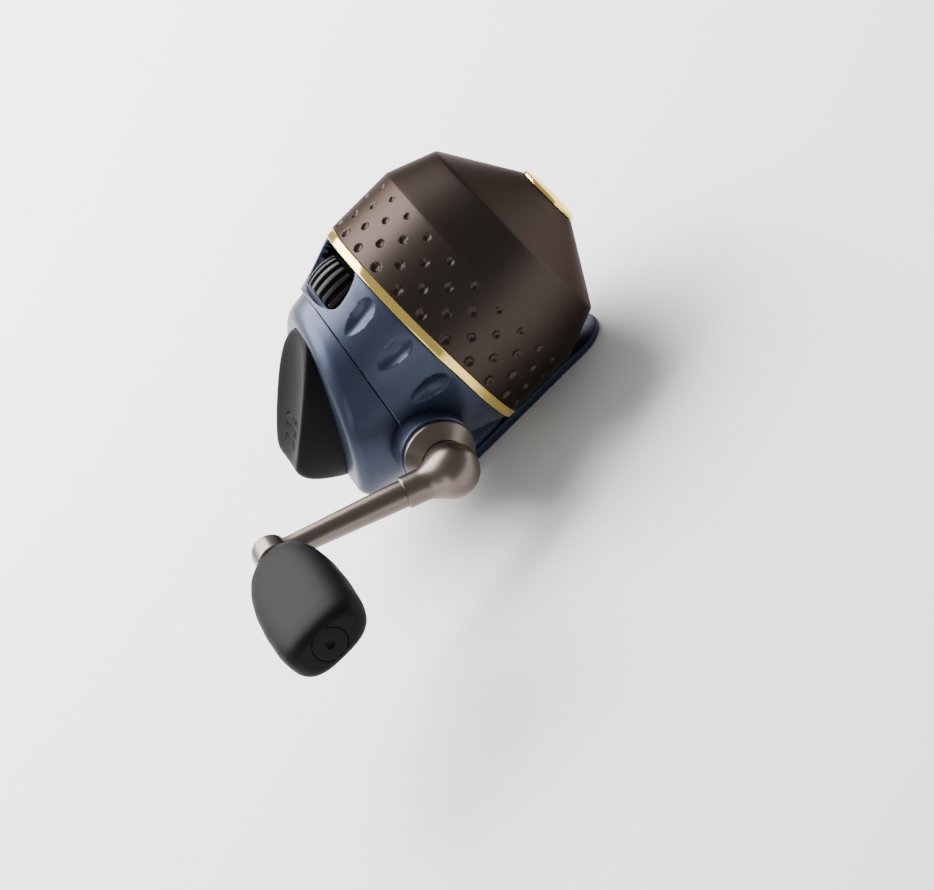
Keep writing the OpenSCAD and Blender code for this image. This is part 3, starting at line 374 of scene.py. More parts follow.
def add(tree, kind, links=(), **values):
    """Node of one kind in a tree. values sets its properties and inputs by name, and links joins
    (socket, input name) pairs to it."""
    node = tree.nodes.new(kind)
    for key, value in values.items():
        name = key.replace("_", " ")
        if name in node.inputs:
            node.inputs[name].default_value = value
        else:
            setattr(node, key, value)
    for socket, name in links:
        tree.links.new(socket, node.inputs[name])
    return node


def surface_material(name, colour, **values):
    """Material with its shader node, ready for more nodes. Names of shader inputs use underscores."""
    made = bpy.data.materials.new(name)
    made.use_nodes = True
    shader = made.node_tree.nodes["Principled BSDF"]
    shader.inputs["Base Color"].default_value = colour
    for key, value in values.items():
        shader.inputs[key.replace("_", " ")].default_value = value
    made.diffuse_color = colour
    return made, made.node_tree, shader


def millimetres(tree, stretch=(1, 1, 1)):
    """Object coordinates in millimetres, stretched by a factor along each axis."""
    place_node = add(tree, "ShaderNodeTexCoord")
    scale = tuple(s / MM for s in stretch)
    return add(tree, "ShaderNodeMapping", [(place_node.outputs["Object"], "Vector")], Scale=scale).outputs[0]


def noise(tree, vector, cells_per_mm):
    """Noise value with a given number of cells in a millimetre."""
    return add(
        tree, "ShaderNodeTexNoise", [(vector, "Vector")], Scale=cells_per_mm, Detail=3.0).outputs["Fac"]


def bump(tree, shader, height, strength, distance_mm):
    """Joins a height to the shader's normal as a bump of a real depth."""
    node = add(tree, "ShaderNodeBump", [(height, "Height")], Strength=strength, Distance=distance_mm * MM)
    tree.links.new(node.outputs[0], shader.inputs["Normal"])


def spread(tree, value, low, high):
    """Pattern value, which is mostly from 0.3 to 0.7, brought into another range."""
    return add(
        tree, "ShaderNodeMapRange", [(value, "Value")],
        From_Min=0.3, From_Max=0.7, To_Min=low, To_Max=high).outputs["Result"]


def tinted(tree, shader, colour, value, low, high):
    """Base colour made darker and lighter by a value."""
    factor = spread(tree, value, low, high)
    node = add(tree, "ShaderNodeVectorMath", [(factor, "Scale")], operation="SCALE")
    node.inputs[0].default_value = colour[:3]
    tree.links.new(node.outputs[0], shader.inputs["Base Color"])


def blue_paint(colour):
    """Metallic blue paint: fine bright flakes, nine to a millimetre, under a thin satin clear coat."""
    made, tree, shader = surface_material(
        "metallic_blue_paint", colour, Metallic=0.72, Roughness=0.42, Coat_Weight=0.12, Coat_Roughness=0.3)
    flakes = add(tree, "ShaderNodeTexVoronoi", [(millimetres(tree), "Vector")], Scale=9.0)
    tinted(tree, shader, colour, flakes.outputs["Color"], 0.86, 1.14)
    bump(tree, shader, flakes.outputs["Distance"], 0.06, 0.02)
    return made


def anodised_cover(colour):
    """Brown-grey anodised aluminium with faint turning marks around the reel axis. The dark tint keeps
    it from turning white where it is seen at a low angle."""
    made, tree, shader = surface_material(
        "anodised_gunmetal", colour, Metallic=0.9, Roughness=0.4, Specular_Tint=(0.35, 0.32, 0.31, 1))
    rings = noise(tree, millimetres(tree, (1, 0.02, 0.02)), 7.0)
    grain = noise(tree, millimetres(tree), 14.0)
    tinted(tree, shader, colour, rings, 0.95, 1.05)
    tree.links.new(spread(tree, grain, 0.36, 0.44), shader.inputs["Roughness"])
    bump(tree, shader, rings, 0.12, 0.01)
    return made


def gold_plate(colour):
    """Polished gold-coloured plate with faint handling haze."""
    made, tree, shader = surface_material(
        "gold_plate", colour, Metallic=1.0, Roughness=0.14, Specular_Tint=(0.9, 0.6, 0.2, 1))
    haze = noise(tree, millimetres(tree), 0.5)
    tree.links.new(spread(tree, haze, 0.1, 0.18), shader.inputs["Roughness"])
    return made


def blasted_metal(name, colour, roughness, grain_mm=0.12):
    """Fine blasted or cast metal: small even grain in its height and its shine."""
    made, tree, shader = surface_material(name, colour, Metallic=1.0, Roughness=roughness)
    grain = noise(tree, millimetres(tree), 1 / grain_mm)
    tree.links.new(spread(tree, grain, roughness - 0.04, roughness + 0.04), shader.inputs["Roughness"])
    bump(tree, shader, grain, 0.1, 0.012)
    return made


def turned_metal(name, colour, roughness):
    """Machined metal: fine tool marks along its length."""
    made, tree, shader = surface_material(name, colour, Metallic=1.0, Roughness=roughness)
    marks = noise(tree, millimetres(tree, (1, 0.1, 0.1)), 9.0)
    tree.links.new(spread(tree, marks, roughness - 0.05, roughness + 0.08), shader.inputs["Roughness"])
    return made


def moulded(name, colour, roughness, grain_mm, depth_mm, shine=0.5):
    """Moulded plastic or rubber with a fine leathery grain. Shine is its share of mirrored light."""
    made, tree, shader = surface_material(name, colour, Roughness=roughness, Specular_IOR_Level=shine)
    grain = noise(tree, millimetres(tree), 1 / grain_mm)
    tree.links.new(spread(tree, grain, roughness - 0.05, roughness + 0.06), shader.inputs["Roughness"])
    bump(tree, shader, grain, 0.35, depth_mm)
    return made


def make_materials():
    """The reel's finishes by name."""
    c = colours()
    return {
        "cover": anodised_cover(c.cover),
        "blue": blue_paint(c.blue),
        "gold": gold_plate(c.gold),
        "handle": blasted_metal("satin_gunmetal", c.handle, 0.34),
        "soft_black": moulded("soft_touch_black", c.soft_black, 0.55, 0.16, 0.02, 0.07),
        "dial_black": moulded("moulded_black_plastic", c.dial_black, 0.42, 0.25, 0.01, 0.2),
        "ink": moulded("mark_ink", c.ink, 0.6, 0.3, 0.005),
        "die_cast": blasted_metal("die_cast_aluminium", linear("#a9abae"), 0.42, 0.2),
        "brass": turned_metal("machined_brass", linear("#d0aa58"), 0.25),
        "steel": turned_metal("machined_steel", linear("#c3c5c9"), 0.24),
        "nylon": moulded("white_nylon", linear("#e4e0d4"), 0.5, 0.3, 0.01),
        "rubber": moulded("black_rubber", linear("#1f1f20"), 0.7, 0.2, 0.02),
    }


SLOT_FINISH = {
    "gunmetal_cover": "cover", "gold_plate": "gold", "blue_paint": "blue", "soft_touch": "soft_black",
    "black_plastic": "dial_black", "gunmetal_handle": "handle", "die_cast": "die_cast", "brass": "brass",
    "nylon": "nylon", "rubber": "rubber", "steel": "steel",
}


def finishes():
    """The finishes by name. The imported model's own plain gold is also called gold_plate and is the one
    found here, so the gold pieces show that plain finish and not the one made above."""
    names = {
        "cover": "anodised_gunmetal", "blue": "metallic_blue_paint", "gold": "gold_plate",
        "handle": "satin_gunmetal", "soft_black": "soft_touch_black", "dial_black": "moulded_black_plastic",
        "ink": "mark_ink", "die_cast": "die_cast_aluminium", "brass": "machined_brass",
        "steel": "machined_steel", "nylon": "white_nylon", "rubber": "black_rubber",
    }
    return {key: bpy.data.materials[name] for key, name in names.items()}


# ---------------------------------------------------------------------------------------------------
# Cover, line guide and trim ring
# ---------------------------------------------------------------------------------------------------

def dimple_depth(x, angle, s):
    """Depth of the dimples at a place on the skirt. Each is a ball's cap: with half width h and
    depth t the ball's radius is (h^2 + t^2) / 2t, and the depth at a distance q from the dimple's
    middle is the ball's height there, sqrt(ball^2 - q^2) - (ball - t)."""
    step = 2 * math.pi / s["dimple_count"]
    depth = np.zeros(np.broadcast(x, angle).shape)
    for row in range(4):
        width = s["dimple_d"] - 0.27 * row
        middle = SKIRT_X + 2 + row * s["dimple_pitch"]
        first = s["dimple_phase"] + (row % 2) * step / 2
        across = ((angle - first + step / 2) % step - step / 2) * s["cover_r"]
        q = np.hypot(x - middle, across)
        deep = width * 0.29
        ball = (width ** 2 / 4 + deep ** 2) / (2 * deep)
        depth += np.clip(np.sqrt(np.clip(ball ** 2 - q ** 2, 0, None)) - (ball - deep), 0, None)
    return depth


def build_cover(s, m):
    """Front cover: a closed profile turned about the reel axis, finely divided along the skirt so
    that the dimples can sink into it."""
    wall = 1.3
    end = SKIRT_X + s["cover_len"]
    outer = rounded(
        [[SKIRT_X, s["cover_r"] - wall], [SKIRT_X, s["cover_r"]], [end, s["cover_r"]],
         [SHOULDER_X, s["shoulder_r"]], [NOSE_X, s["nose_r"]], [NOSE_X, 5.5]],
        [0.15, 1.6, 1.8, 0.5])
    skirt = np.stack([np.linspace(SKIRT_X + 0.4, end - 0.9, 66), np.full(66, s["cover_r"])], axis=-1)
    edge = outer[outer[:, 0] < SKIRT_X + 0.3]
    front = divided(outer[(outer[:, 0] > end - 0.85) & (outer[:, 1] > 5)], 2.2)
    inner = np.array([
        [NOSE_X - 1.56, 5.5], [NOSE_X - 1.56, s["nose_r"] - wall],
        [SHOULDER_X - 0.6, s["shoulder_r"] - wall], [end - 0.3, s["cover_r"] - wall]])
    outline = np.concatenate([edge, skirt, front, inner])
    columns = 720
    grid = turned_x(outline, columns)
    angle = np.arange(columns) * 2 * math.pi / columns
    on_skirt = outline[:, 1:] > s["cover_r"] - 0.01
    sink = dimple_depth(outline[:, :1], angle, s) * on_skirt
    grid[..., 1] += sink * np.sin(angle)
    grid[..., 2] -= sink * np.cos(angle)
    cover = make_object("cover_shell", grid, [grid_faces(*grid.shape[:2], down=True)], sharp=24)
    finish_piece(cover, m["cover"], "reel_body", "gunmetal_cover", "front_cover")


def build_line_guide(s, m):
    """Line guide: a flared eyelet with a rolled rim, turned about the reel axis."""
    tip = NOSE_X + 1.7
    outline = rounded(
        [[tip - 4.3, 5.2], [NOSE_X + 0.05, 5.2], [NOSE_X + 0.05, 8.2], [tip - 0.75, 8.2], [tip, 6.6],
         [tip, 5.3], [tip - 0.6, 4.1], [tip - 1.8, 3.4], [tip - 4.3, 3.4]],
        [0, 0.25, 0.6, 0.9, 0.5, 0.7, 0.9])
    grid = turned_x(outline, 128)
    guide = make_object("line_guide_eyelet", grid, [grid_faces(*grid.shape[:2], down=True)])
    finish_piece(guide, m["gold"], "reel_body", "gold_plate", "line_guide")


def build_trim_ring(s, m):
    """Trim ring: a band with softly rounded edges, turned about the reel axis."""
    low, high = node_box("trim_ring")
    inner = TRIM_R - 1.75
    outline = rounded(
        [[low[0], inner], [low[0], TRIM_R], [high[0], TRIM_R], [high[0], inner]], [0.35, 0.35], steps=7)
    grid = turned_x(outline, 360)
    ring = make_object("trim_band", grid, [grid_faces(*grid.shape[:2], down=True)], sharp=50)
    finish_piece(ring, m["gold"], "reel_body", "gold_plate", "trim_ring")


# ---------------------------------------------------------------------------------------------------
# Body
# ---------------------------------------------------------------------------------------------------

# Housing and rear cover: [x, radius] along the reel axis, and the seam plane x = SEAM_X + SEAM_SLOPE z
BODY_PROFILE = np.array([[-25, 24.4], [-19, 25.2], [-14, 26.2], [-10, 27.3], [-5, 29.1], [-1.1, 30.6]])
REAR_PROFILE = np.array([[-46, 21.6], [-34, 22.8], [-28, 23.5], [-22, 24.1], [-17, 24.7], [-12, 25.4]])
SEAM_X = -19.1
SEAM_SLOPE = 0.185
BOSS_R = 9.3
BOSS_FACE_Y = -31.1
# Front edge of the housing's skin, and the station where its grid turns from even rows to rows that
# end on the seam
HOUSING_FRONT = -1.1
EVEN_END = -12.9
# Window for the drag dial: ends along the axis, half its angle and the skin's radius beside it
WINDOW_X = (-11.9, -0.2)
WINDOW_ANGLE = math.radians(22.6)
WINDOW_R = 28
# Scallops on each side: the first one's angle from the top and the angle from one to the next, the
# middle of each along the axis, half its length and half its width
SCALLOP_FIRST = math.radians(36)
SCALLOP_STEP = math.radians(24.6)
SCALLOP_X = -7.9
SCALLOP_HALF_LEN = 5.3
SCALLOP_HALF_W = 2.45
# The sloping rear face, x = SLOPE_X + SLOPE_RUN z, and the face that runs under it
SLOPE_X = -32.8
SLOPE_RUN = 0.513
KNEE = np.array([-39.3, -12.6])
HEEL = np.array([-34.6, -21.4])
BUTTON_MID = 4.4
BUTTON_HALF_LEN = 19.7


def profile_r(profile, x):
    """Radius of a profile at x, with its corners eased by averaging over a few millimetres."""
    offsets = np.linspace(-1.8, 1.8, 9)
    return np.mean([np.interp(x + o, profile[:, 0], profile[:, 1]) for o in offsets], axis=0)


def seam_station(angle, profile):
    """x where the seam plane cuts a profile at an angle from the top, by repeated substitution."""
    x = np.full(np.shape(angle), SEAM_X)
    for _ in range(12):
        x = SEAM_X + SEAM_SLOPE * profile_r(profile, x) * np.cos(angle)
    return x


def window_distance(x, angle):
    """Distance outside the dial window's outline, measured on the housing's skin. The window is open
    towards the trim ring, has sides that bulge and round corners at its back."""
    corner = 2.2
    half_x = (WINDOW_X[1] - WINDOW_X[0]) / 2
    middle = (WINDOW_X[1] + WINDOW_X[0]) / 2
    bulge = 0.035 * (x + 7.2) ** 2
    dx = np.abs(x - middle) - half_x + corner
    ds = (np.abs(angle) - WINDOW_ANGLE) * WINDOW_R + bulge + corner
    outside = np.hypot(np.clip(dx, 0, None), np.clip(ds, 0, None))
    return outside + np.minimum(np.maximum(dx, ds), 0) - corner


def scallop_depth(x, angle, radius, s):
    """Depth of the six scallops. Each is an oval bowl along the axis: with q the share of the way from
    its middle to its outline, the depth is deepest * (1 - q^2), and deeper towards the front."""
    deep = np.zeros(np.broadcast(x, angle).shape)
    along = (x - SCALLOP_X) / SCALLOP_HALF_LEN
    half_w = SCALLOP_HALF_W * (1 + 0.25 * along)
    for side in (-1, 1):
        for i in range(3):
            middle = side * (SCALLOP_FIRST + SCALLOP_STEP * i)
            away = ((angle - middle + math.pi) % (2 * math.pi) - math.pi) * radius
            bowl = np.clip(1 - along ** 2 - (away / half_w) ** 2, 0, None)
            deep = np.maximum(deep, s["scallop_depth"] * bowl * (1 + 0.45 * along))
    return deep


def housing_point(x, angle, s):
    """Point of the housing's skin: the eased profile's radius at x, less the scallops, the finger
    hollow behind the dial and the rounding of the window's edge."""
    radius = profile_r(BODY_PROFILE, x)
    edge = window_distance(x, angle)
    hollow = 1.5 * np.clip(1 - ((x + 11.2) / 2.5) ** 2 - (angle / math.radians(19.5)) ** 2, 0, None)
    lip = np.clip(1 - edge / 0.45, 0, 1) ** 2 * 0.2
    radius = radius - scallop_depth(x, angle, radius, s) - hollow - lip
    radius = radius - np.clip(1 - (HOUSING_FRONT - x) / 0.35, 0, 1) ** 2 * 0.2
    return np.stack([x + 0 * radius, -radius * np.sin(angle), radius * np.cos(angle)], axis=-1)


def build_housing(s, m):
    """Housing skin: a grid of stations along the axis by angles, open at the dial window, whose
    border is moved onto the window's outline. A Solidify modifier gives the wall."""
    columns = 560
    angle = np.arange(columns) * 2 * math.pi / columns
    angle = np.where(angle > math.pi, angle - 2 * math.pi, angle)[None, :]
    near = np.linspace(HOUSING_FRONT, EVEN_END, 64)[:, None] + 0 * angle
    t = np.linspace(0, 1, 22)[1:, None]
    far = EVEN_END + (seam_station(angle, BODY_PROFILE) - EVEN_END) * t
    x = np.concatenate([near, far])
    angle = angle + 0 * x
    quads = grid_faces(len(x), columns)
    flat_x, flat_angle = x.ravel(), angle.ravel()
    away = window_distance(flat_x, flat_angle)
    hidden = away[quads].mean(1) < 0
    border = np.intersect1d(quads[hidden].ravel(), quads[~hidden].ravel())
    small_x, small_angle = 0.01, 0.001
    for _ in range(3):
        bx, ba = flat_x[border], flat_angle[border]
        gap = window_distance(bx, ba)
        slope_x = (window_distance(bx + small_x, ba) - gap) / small_x
        slope_angle = (window_distance(bx, ba + small_angle) - gap) / small_angle
        size = slope_x ** 2 + (slope_angle / WINDOW_R) ** 2 + 1e-9
        flat_x[border] -= gap * slope_x / size
        flat_angle[border] -= gap * slope_angle / WINDOW_R ** 2 / size
    points = housing_point(flat_x, flat_angle, s)
    inside_boss = np.hypot(points[:, 0] - CRANK_X, points[:, 2] - CRANK_Z) < BOSS_R - 0.6
    inside_boss &= points[:, 1] < 0
    kept = quads[~hidden & ~inside_boss[quads].all(1)]
    housing = make_object("housing_skin", points, [kept], sharp=28)
    add_wall(housing, 1.7)
    finish_piece(housing, m["blue"], "reel_body", "blue_paint", "body_housing")


def build_boss(s, m):
    """Boss for the crank's bearings: a ring with a rounded edge, turned about the crank axis, and
    its spigot behind the trim ring."""
    outline = rounded(
        [[-14, BOSS_R], [BOSS_FACE_Y, BOSS_R], [BOSS_FACE_Y, 7.05], [-14, 7.05]], [0.7, 0.25])
    grid = turned_y(divided(outline, 3), 192, CRANK_X, CRANK_Z)
    boss = make_object("crank_boss", grid, [grid_faces(*grid.shape[:2], down=True)])
    finish_piece(boss, m["blue"], "reel_body", "blue_paint")
    outline = np.array([[-1.05, 29.45], [5.5, 29.45], [5.5, 27.6], [-1.05, 27.6]])
    grid = turned_x(divided(outline, 3), 180)
    spigot = make_object("cover_spigot", grid, [grid_faces(*grid.shape[:2], down=True)])
    finish_piece(spigot, m["blue"], "reel_body", "blue_paint")


def build_mark(s, m):
    """Small plus sign in a ring beside the dial, printed on the housing: two flat bars and a thin
    ring laid on the skin."""
    x0, a0, size = -4.8, math.radians(27.9), 1.15
    t = np.linspace(0, 1, 49)[:-1] * 2 * math.pi

    def laid(u, v):
        angle = a0 + v / 28.4
        radius = profile_r(BODY_PROFILE, x0 + u) + 0.02
        return np.stack([x0 + u, -radius * np.sin(angle), radius * np.cos(angle)], axis=-1)

    ring = np.stack([laid(r * np.cos(t), r * np.sin(t)) for r in (size, size - 0.17)])
    bar_u = np.array([[-0.6, 0.6], [-0.6, 0.6]])
    bar_v = np.array([[-0.09, -0.09], [0.09, 0.09]])
    bars = [laid(bar_u, bar_v), laid(bar_v, bar_u)]
    points = np.concatenate([ring.reshape(-1, 3)] + [b.reshape(-1, 3) for b in bars])
    faces = [grid_faces(2, 48)] + [grid_faces(2, 2, around=False, offset=96 + 4 * i) for i in range(2)]
    mark = make_object("plus_mark", points, faces)
    finish_piece(mark, m["ink"], "reel_body", "blue_paint")


def on_slope(inward, across, up):
    """Point from the sloping face's own axes: into the body, across and up the slope."""
    length = math.hypot(1, SLOPE_RUN)
    c, k = 1 / length, SLOPE_RUN / length
    return np.stack(np.broadcast_arrays(SLOPE_X + c * inward + k * up, across, c * up - k * inward), axis=-1)


def slope_axes(points):
    """Into-the-body, across and up-the-slope distances of points."""
    length = math.hypot(1, SLOPE_RUN)
    c, k = 1 / length, SLOPE_RUN / length
    x, y, z = points[..., 0] - SLOPE_X, points[..., 1], points[..., 2]
    return c * x - k * z, y, k * x + c * z


def rear_field(points):
    """Distance outside the rear cover: the larger of the turned profile, the slope and the face under
    it, with rounded edges."""
    x, y, z = points[..., 0], points[..., 1], points[..., 2]
    turned = np.hypot(y, z) - profile_r(REAR_PROFILE, x)
    inward, _, _ = slope_axes(points)
    run = (HEEL - KNEE) / np.linalg.norm(HEEL - KNEE)
    under = (x - KNEE[0]) * run[1] - (z - KNEE[1]) * run[0]
    return smooth_max([smooth_max([turned, -inward], 3.2), under], 2.6)


def button_outline(angle, margin, s):
    """Outline of the thumb button on the slope, a superellipse of exponent 2.5: (across, up)."""
    c, k = np.cos(angle), np.sin(angle)
    up = BUTTON_MID + np.sign(c) * np.abs(c) ** 0.8 * (BUTTON_HALF_LEN + margin)
    across = -np.sign(k) * np.abs(k) ** 0.8 * (s["button_half_w"] + margin)
    return across, up


def build_rear_cover(s, m):
    """Rear cover: rays from a point inside swing from the seam to the button's opening, and each
    point lies where its ray leaves the cover's field. A Solidify modifier gives the wall."""
    columns, rows = 480, 84
    angle = np.arange(columns) * 2 * math.pi / columns
    x = seam_station(angle, REAR_PROFILE) - 0.12
    radius = profile_r(REAR_PROFILE, x)
    seam = np.stack([x, -radius * np.sin(angle), radius * np.cos(angle)], axis=-1)
    across, up = button_outline(angle, 0.4, s)
    inner = on_slope(8.0, across, up)
    out = on_slope(7.0, 0.0, 0.0) - on_slope(8.0, 0.0, 0.0)
    opening = cast(inner, np.broadcast_to(out, inner.shape), rear_field)
    middle = np.array([-22.0, 0, -1.0])
    a, b = seam - middle, opening - middle
    a = a / np.linalg.norm(a, axis=1)[:, None]
    b = b / np.linalg.norm(b, axis=1)[:, None]
    turn = np.arccos(np.clip((a * b).sum(1), -1, 1))
    t = np.linspace(0, 1, rows)[:, None]
    rays = (np.sin((1 - t) * turn)[..., None] * a + np.sin(t * turn)[..., None] * b) / np.sin(turn)[:, None]
    grid = cast(middle, rays, rear_field)
    to_opening = np.linalg.norm(grid - grid[-1], axis=-1)
    to_seam = np.linalg.norm(grid - grid[0], axis=-1)
    sink = np.clip(1 - to_opening / 0.9, 0, 1) ** 2 * 0.35 + np.clip(1 - to_seam / 0.35, 0, 1) ** 2 * 0.12
    grid = grid - rays * sink[..., None]
    quads = grid_faces(rows, columns)
    flat = grid.reshape(-1, 3)
    inside_boss = (np.hypot(flat[:, 0] - CRANK_X, flat[:, 2] - CRANK_Z) < BOSS_R - 0.4) & (flat[:, 1] < 0)
    shell = make_object("rear_shell", flat, [quads[~inside_boss[quads].all(1)]], sharp=40)
    add_wall(shell, 1.5)
    finish_piece(shell, m["blue"], "reel_body", "blue_paint", "rear_cover")


# ---------------------------------------------------------------------------------------------------
# Thumb button and drag dial
# ---------------------------------------------------------------------------------------------------

# Side outline of the button: [out of the slope, up the slope], from the top over the face to the toe
BUTTON_SIDE = np.array(
    [[1.3, 25.2], [6.4, 12], [11.6, -4.6], [12.0, -6.6], [11.4, -8.6], [8.9, -11.4], [-0.4, -15.6]])
# How far under the slope the button's rim lies
BUTTON_RIM = 1.5


def button_field(points, s):
    """Distance outside the thumb button: its side outline, its outline on the slope narrowing
    outwards, a long dish in its face and three grip grooves near its toe."""
    inward, across, up = slope_axes(points)
    out = -inward
    sides = []
    for p, q in zip(BUTTON_SIDE[:-1], BUTTON_SIDE[1:]):
        run = (q - p) / np.linalg.norm(q - p)
        sides.append((up - p[1]) * run[0] - (out - p[0]) * run[1])
    narrow = 1 - 0.2 * (out + 1.5) / 14.5
    half_w = s["button_half_w"] * narrow
    ring = (np.abs(up - BUTTON_MID) / BUTTON_HALF_LEN) ** 2.5 + (np.abs(across) / half_w) ** 2.5
    outline = (ring ** 0.4 - 1) * half_w
    body = sides[0]
    for side in sides[1:]:
        body = smooth_max([body, side], 1.2)
    body = smooth_max([body, outline], 1.9)
    a, b = BUTTON_SIDE[0], BUTTON_SIDE[2]
    run = (b - a) / np.linalg.norm(b - a)
    above = (up - a[1]) * run[0] - (out - a[0]) * run[1]
    along = (out - a[0]) * run[0] + (up - a[1]) * run[1]
    ball = 24.0
    ends = 0.0022 * (along - 15.5) ** 2
    dish = ball - np.hypot(above - (ball - s["dish_depth"]) - ends, across)
    grooves = 0
    for i in range(3):
        place_on = 23.2 + 2.7 * i
        half = 3.6 - 0.35 * i
        bar = np.hypot(np.clip(np.abs(across) - half, 0, None), along - place_on)
        grooves = grooves + 0.45 * (1 - smooth_step(0.35, 0.62, bar)) * (above > -4)
    return np.maximum(smooth_max([body, dish], 0.9) + grooves, inward - BUTTON_RIM)


def build_button(s, m):
    """Thumb button: a shell open underneath. Rays go from a point inside in every direction above the
    rim, each to where it leaves the button's field. The rim lies on a plane parallel to the slope: a
    ray's polar angle runs from 0, in the middle of the dish, to the angle at which it meets the rim."""
    rows, columns = 120, 360
    rim_in, lift = BUTTON_RIM - 0.05, 2.0
    origin = on_slope(0.0, 0.0, 0.0)
    out = on_slope(-1.0, 0.0, 0.0) - origin
    upwards = on_slope(0.0, 0.0, 1.0) - origin
    aside = np.array([0.0, 1.0, 0.0])
    turn = np.arange(columns)[None, :] * 2 * math.pi / columns
    flat = np.cos(turn)[..., None] * upwards * 1.4 + np.sin(turn)[..., None] * aside
    length = np.linalg.norm(flat, axis=-1)
    level = on_slope(rim_in, 0.0, 6.0)

    def field(points):
        return button_field(points, s)

    rim = cast(level, flat / length[..., None], field, reach=40)
    reach_out = np.linalg.norm(rim - level, axis=-1)
    last = np.arctan2(reach_out / length, -(rim_in + lift))
    polar = np.linspace(0, 1, rows + 1)[1:, None] * last
    rays = np.sin(polar)[..., None] * flat + np.cos(polar)[..., None] * out
    rays = rays / np.linalg.norm(rays, axis=-1)[..., None]
    grid = cast(on_slope(-lift, 0.0, 6.0), rays, field, reach=40)
    points = np.concatenate([grid.reshape(-1, 3), grid[0].mean(0)[None]])
    pole = fan_faces(np.arange(columns), rows * columns, flip=True)
    button = make_object("button_cap", points, [grid_faces(rows, columns), pole], sharp=50)
    add_wall(button, 1.3)
    finish_piece(button, m["soft_black"], "button", "soft_touch", "thumb_button")


def build_dial(s, m):
    """Drag dial: a barrel turned about its own axis, with rounded grooves cut between the ribs, and
    its plain hub."""
    low, high = node_box("drag_dial")
    barrel_len, barrel_r = 9.4, 11
    x0, x1 = low[0], low[0] + barrel_len
    t = np.linspace(0, 1, 25)
    edge = np.clip(1 - np.minimum(t, 1 - t) / 0.05, 0, 1)
    radius = barrel_r - 0.9 * (2 * t - 1) ** 2 - 0.7 * edge ** 2
    barrel = np.stack([x0 + (x1 - x0) * t, radius], axis=-1)
    hub = np.array(
        [[x1, 8], [x1, 4], [high[0] - 2.6, 4], [high[0] - 2.6, 2.6], [high[0], 2.6], [high[0], 1.3]])
    back = np.array([[x0, 1.3], [x0, 8]])
    outline = np.concatenate([back, barrel, hub])
    columns = s["rib_count"] * 20
    grid = turned_x(outline, columns)
    angle = np.arange(columns) * 2 * math.pi / columns
    share = np.abs((angle * s["rib_count"] / (2 * math.pi) + 0.5) % 1 - 0.5) * 2
    groove = 1.15 * (1 - smooth_step(0.12, 0.62, share))
    shrink = 1 - groove[None, :] * (outline[:, 1:] > 8.5) / outline[:, 1:]
    grid[..., 1:] *= shrink[..., None]
    grid[..., 2] += DIAL_Z
    dial = make_object("dial_wheel", grid, [grid_faces(*grid.shape[:2], down=True)], sharp=40)
    finish_piece(dial, m["dial_black"], "dial", "black_plastic", "drag_dial")


# ---------------------------------------------------------------------------------------------------
# Handle
# ---------------------------------------------------------------------------------------------------

def elbow_middle():
    """Middle of the elbow's ball."""
    return np.array([CRANK_X, ELBOW_Y, CRANK_Z])


def arm_direction():
    """Unit vector from the elbow along the arm."""
    run = np.array([KNOB_X - CRANK_X, 0, KNOB_Z - CRANK_Z])
    return run / np.linalg.norm(run)


def arm_length():
    """Distance between the crank's axis and the knob's."""
    return math.hypot(KNOB_X - CRANK_X, KNOB_Z - CRANK_Z)


def along_arm(distance, sideways, upright):
    """Point from distances along the arm, across it in the plane of its turning, and along Y."""
    run = arm_direction()
    across = np.array([-run[2], 0, run[0]])
    return (elbow_middle() + distance[..., None] * run + sideways[..., None] * across
            + upright[..., None] * np.array([0, 1.0, 0]))


def build_hub(s, m):
    """Hub: a stepped collar against the boss, turned about the crank axis."""
    outline = rounded(
        [[HUB_FRONT, 2.5], [HUB_FRONT, 5.6], [HUB_BACK - 1.1, 8.8], [HUB_BACK, 8.9], [HUB_BACK, 2.5]],
        [0.45, 0.5, 0.25])
    grid = turned_y(outline, 160, CRANK_X, CRANK_Z)
    hub = make_object("hub_collar", grid, [grid_faces(*grid.shape[:2], down=True)])
    finish_piece(hub, m["handle"], "crank", "gunmetal_handle", "handle_hub")


def elbow_field(points, s):
    """Distance outside the elbow: a ball, the socket along the arm and the neck along the crank,
    joined by fillets."""
    away = points - elbow_middle()
    along = away @ arm_direction()
    ball = np.linalg.norm(away, axis=-1) - s["ball_r"]
    off_arm = np.sqrt(np.clip((away ** 2).sum(-1) - along ** 2, 0, None))
    socket = smooth_max([off_arm - (4.1 - 0.012 * along), along - 12.6, -along], 0.35)
    off_crank = np.hypot(away[..., 0], away[..., 2])
    neck = np.maximum(off_crank - 5.2, -away[..., 1])
    joined = -smooth_max([smooth_max([-ball, -socket], 2.4), -neck], 1.2)
    return np.maximum(joined, away[..., 1] - (NECK_Y - ELBOW_Y))


def build_elbow(s, m):
    """Elbow: rays from the ball's middle, with their pole on the arm, each point where its ray leaves
    the elbow's field."""
    rows, columns = 190, 240
    t = np.linspace(0, 1, rows + 2)[1:-1, None]
    polar = math.pi * (0.55 * t + 0.45 * t ** 2)
    turn = np.arange(columns)[None, :] * 2 * math.pi / columns
    rays = along_arm(np.cos(polar) + 0 * turn, np.sin(polar) * np.cos(turn), np.sin(polar) * np.sin(turn))
    grid = cast(elbow_middle(), rays - elbow_middle(), lambda p: elbow_field(p, s), reach=30)
    elbow = closed_tube("elbow_ball", grid, sharp=45)
    finish_piece(elbow, m["handle"], "crank", "gunmetal_handle", "handle_elbow")


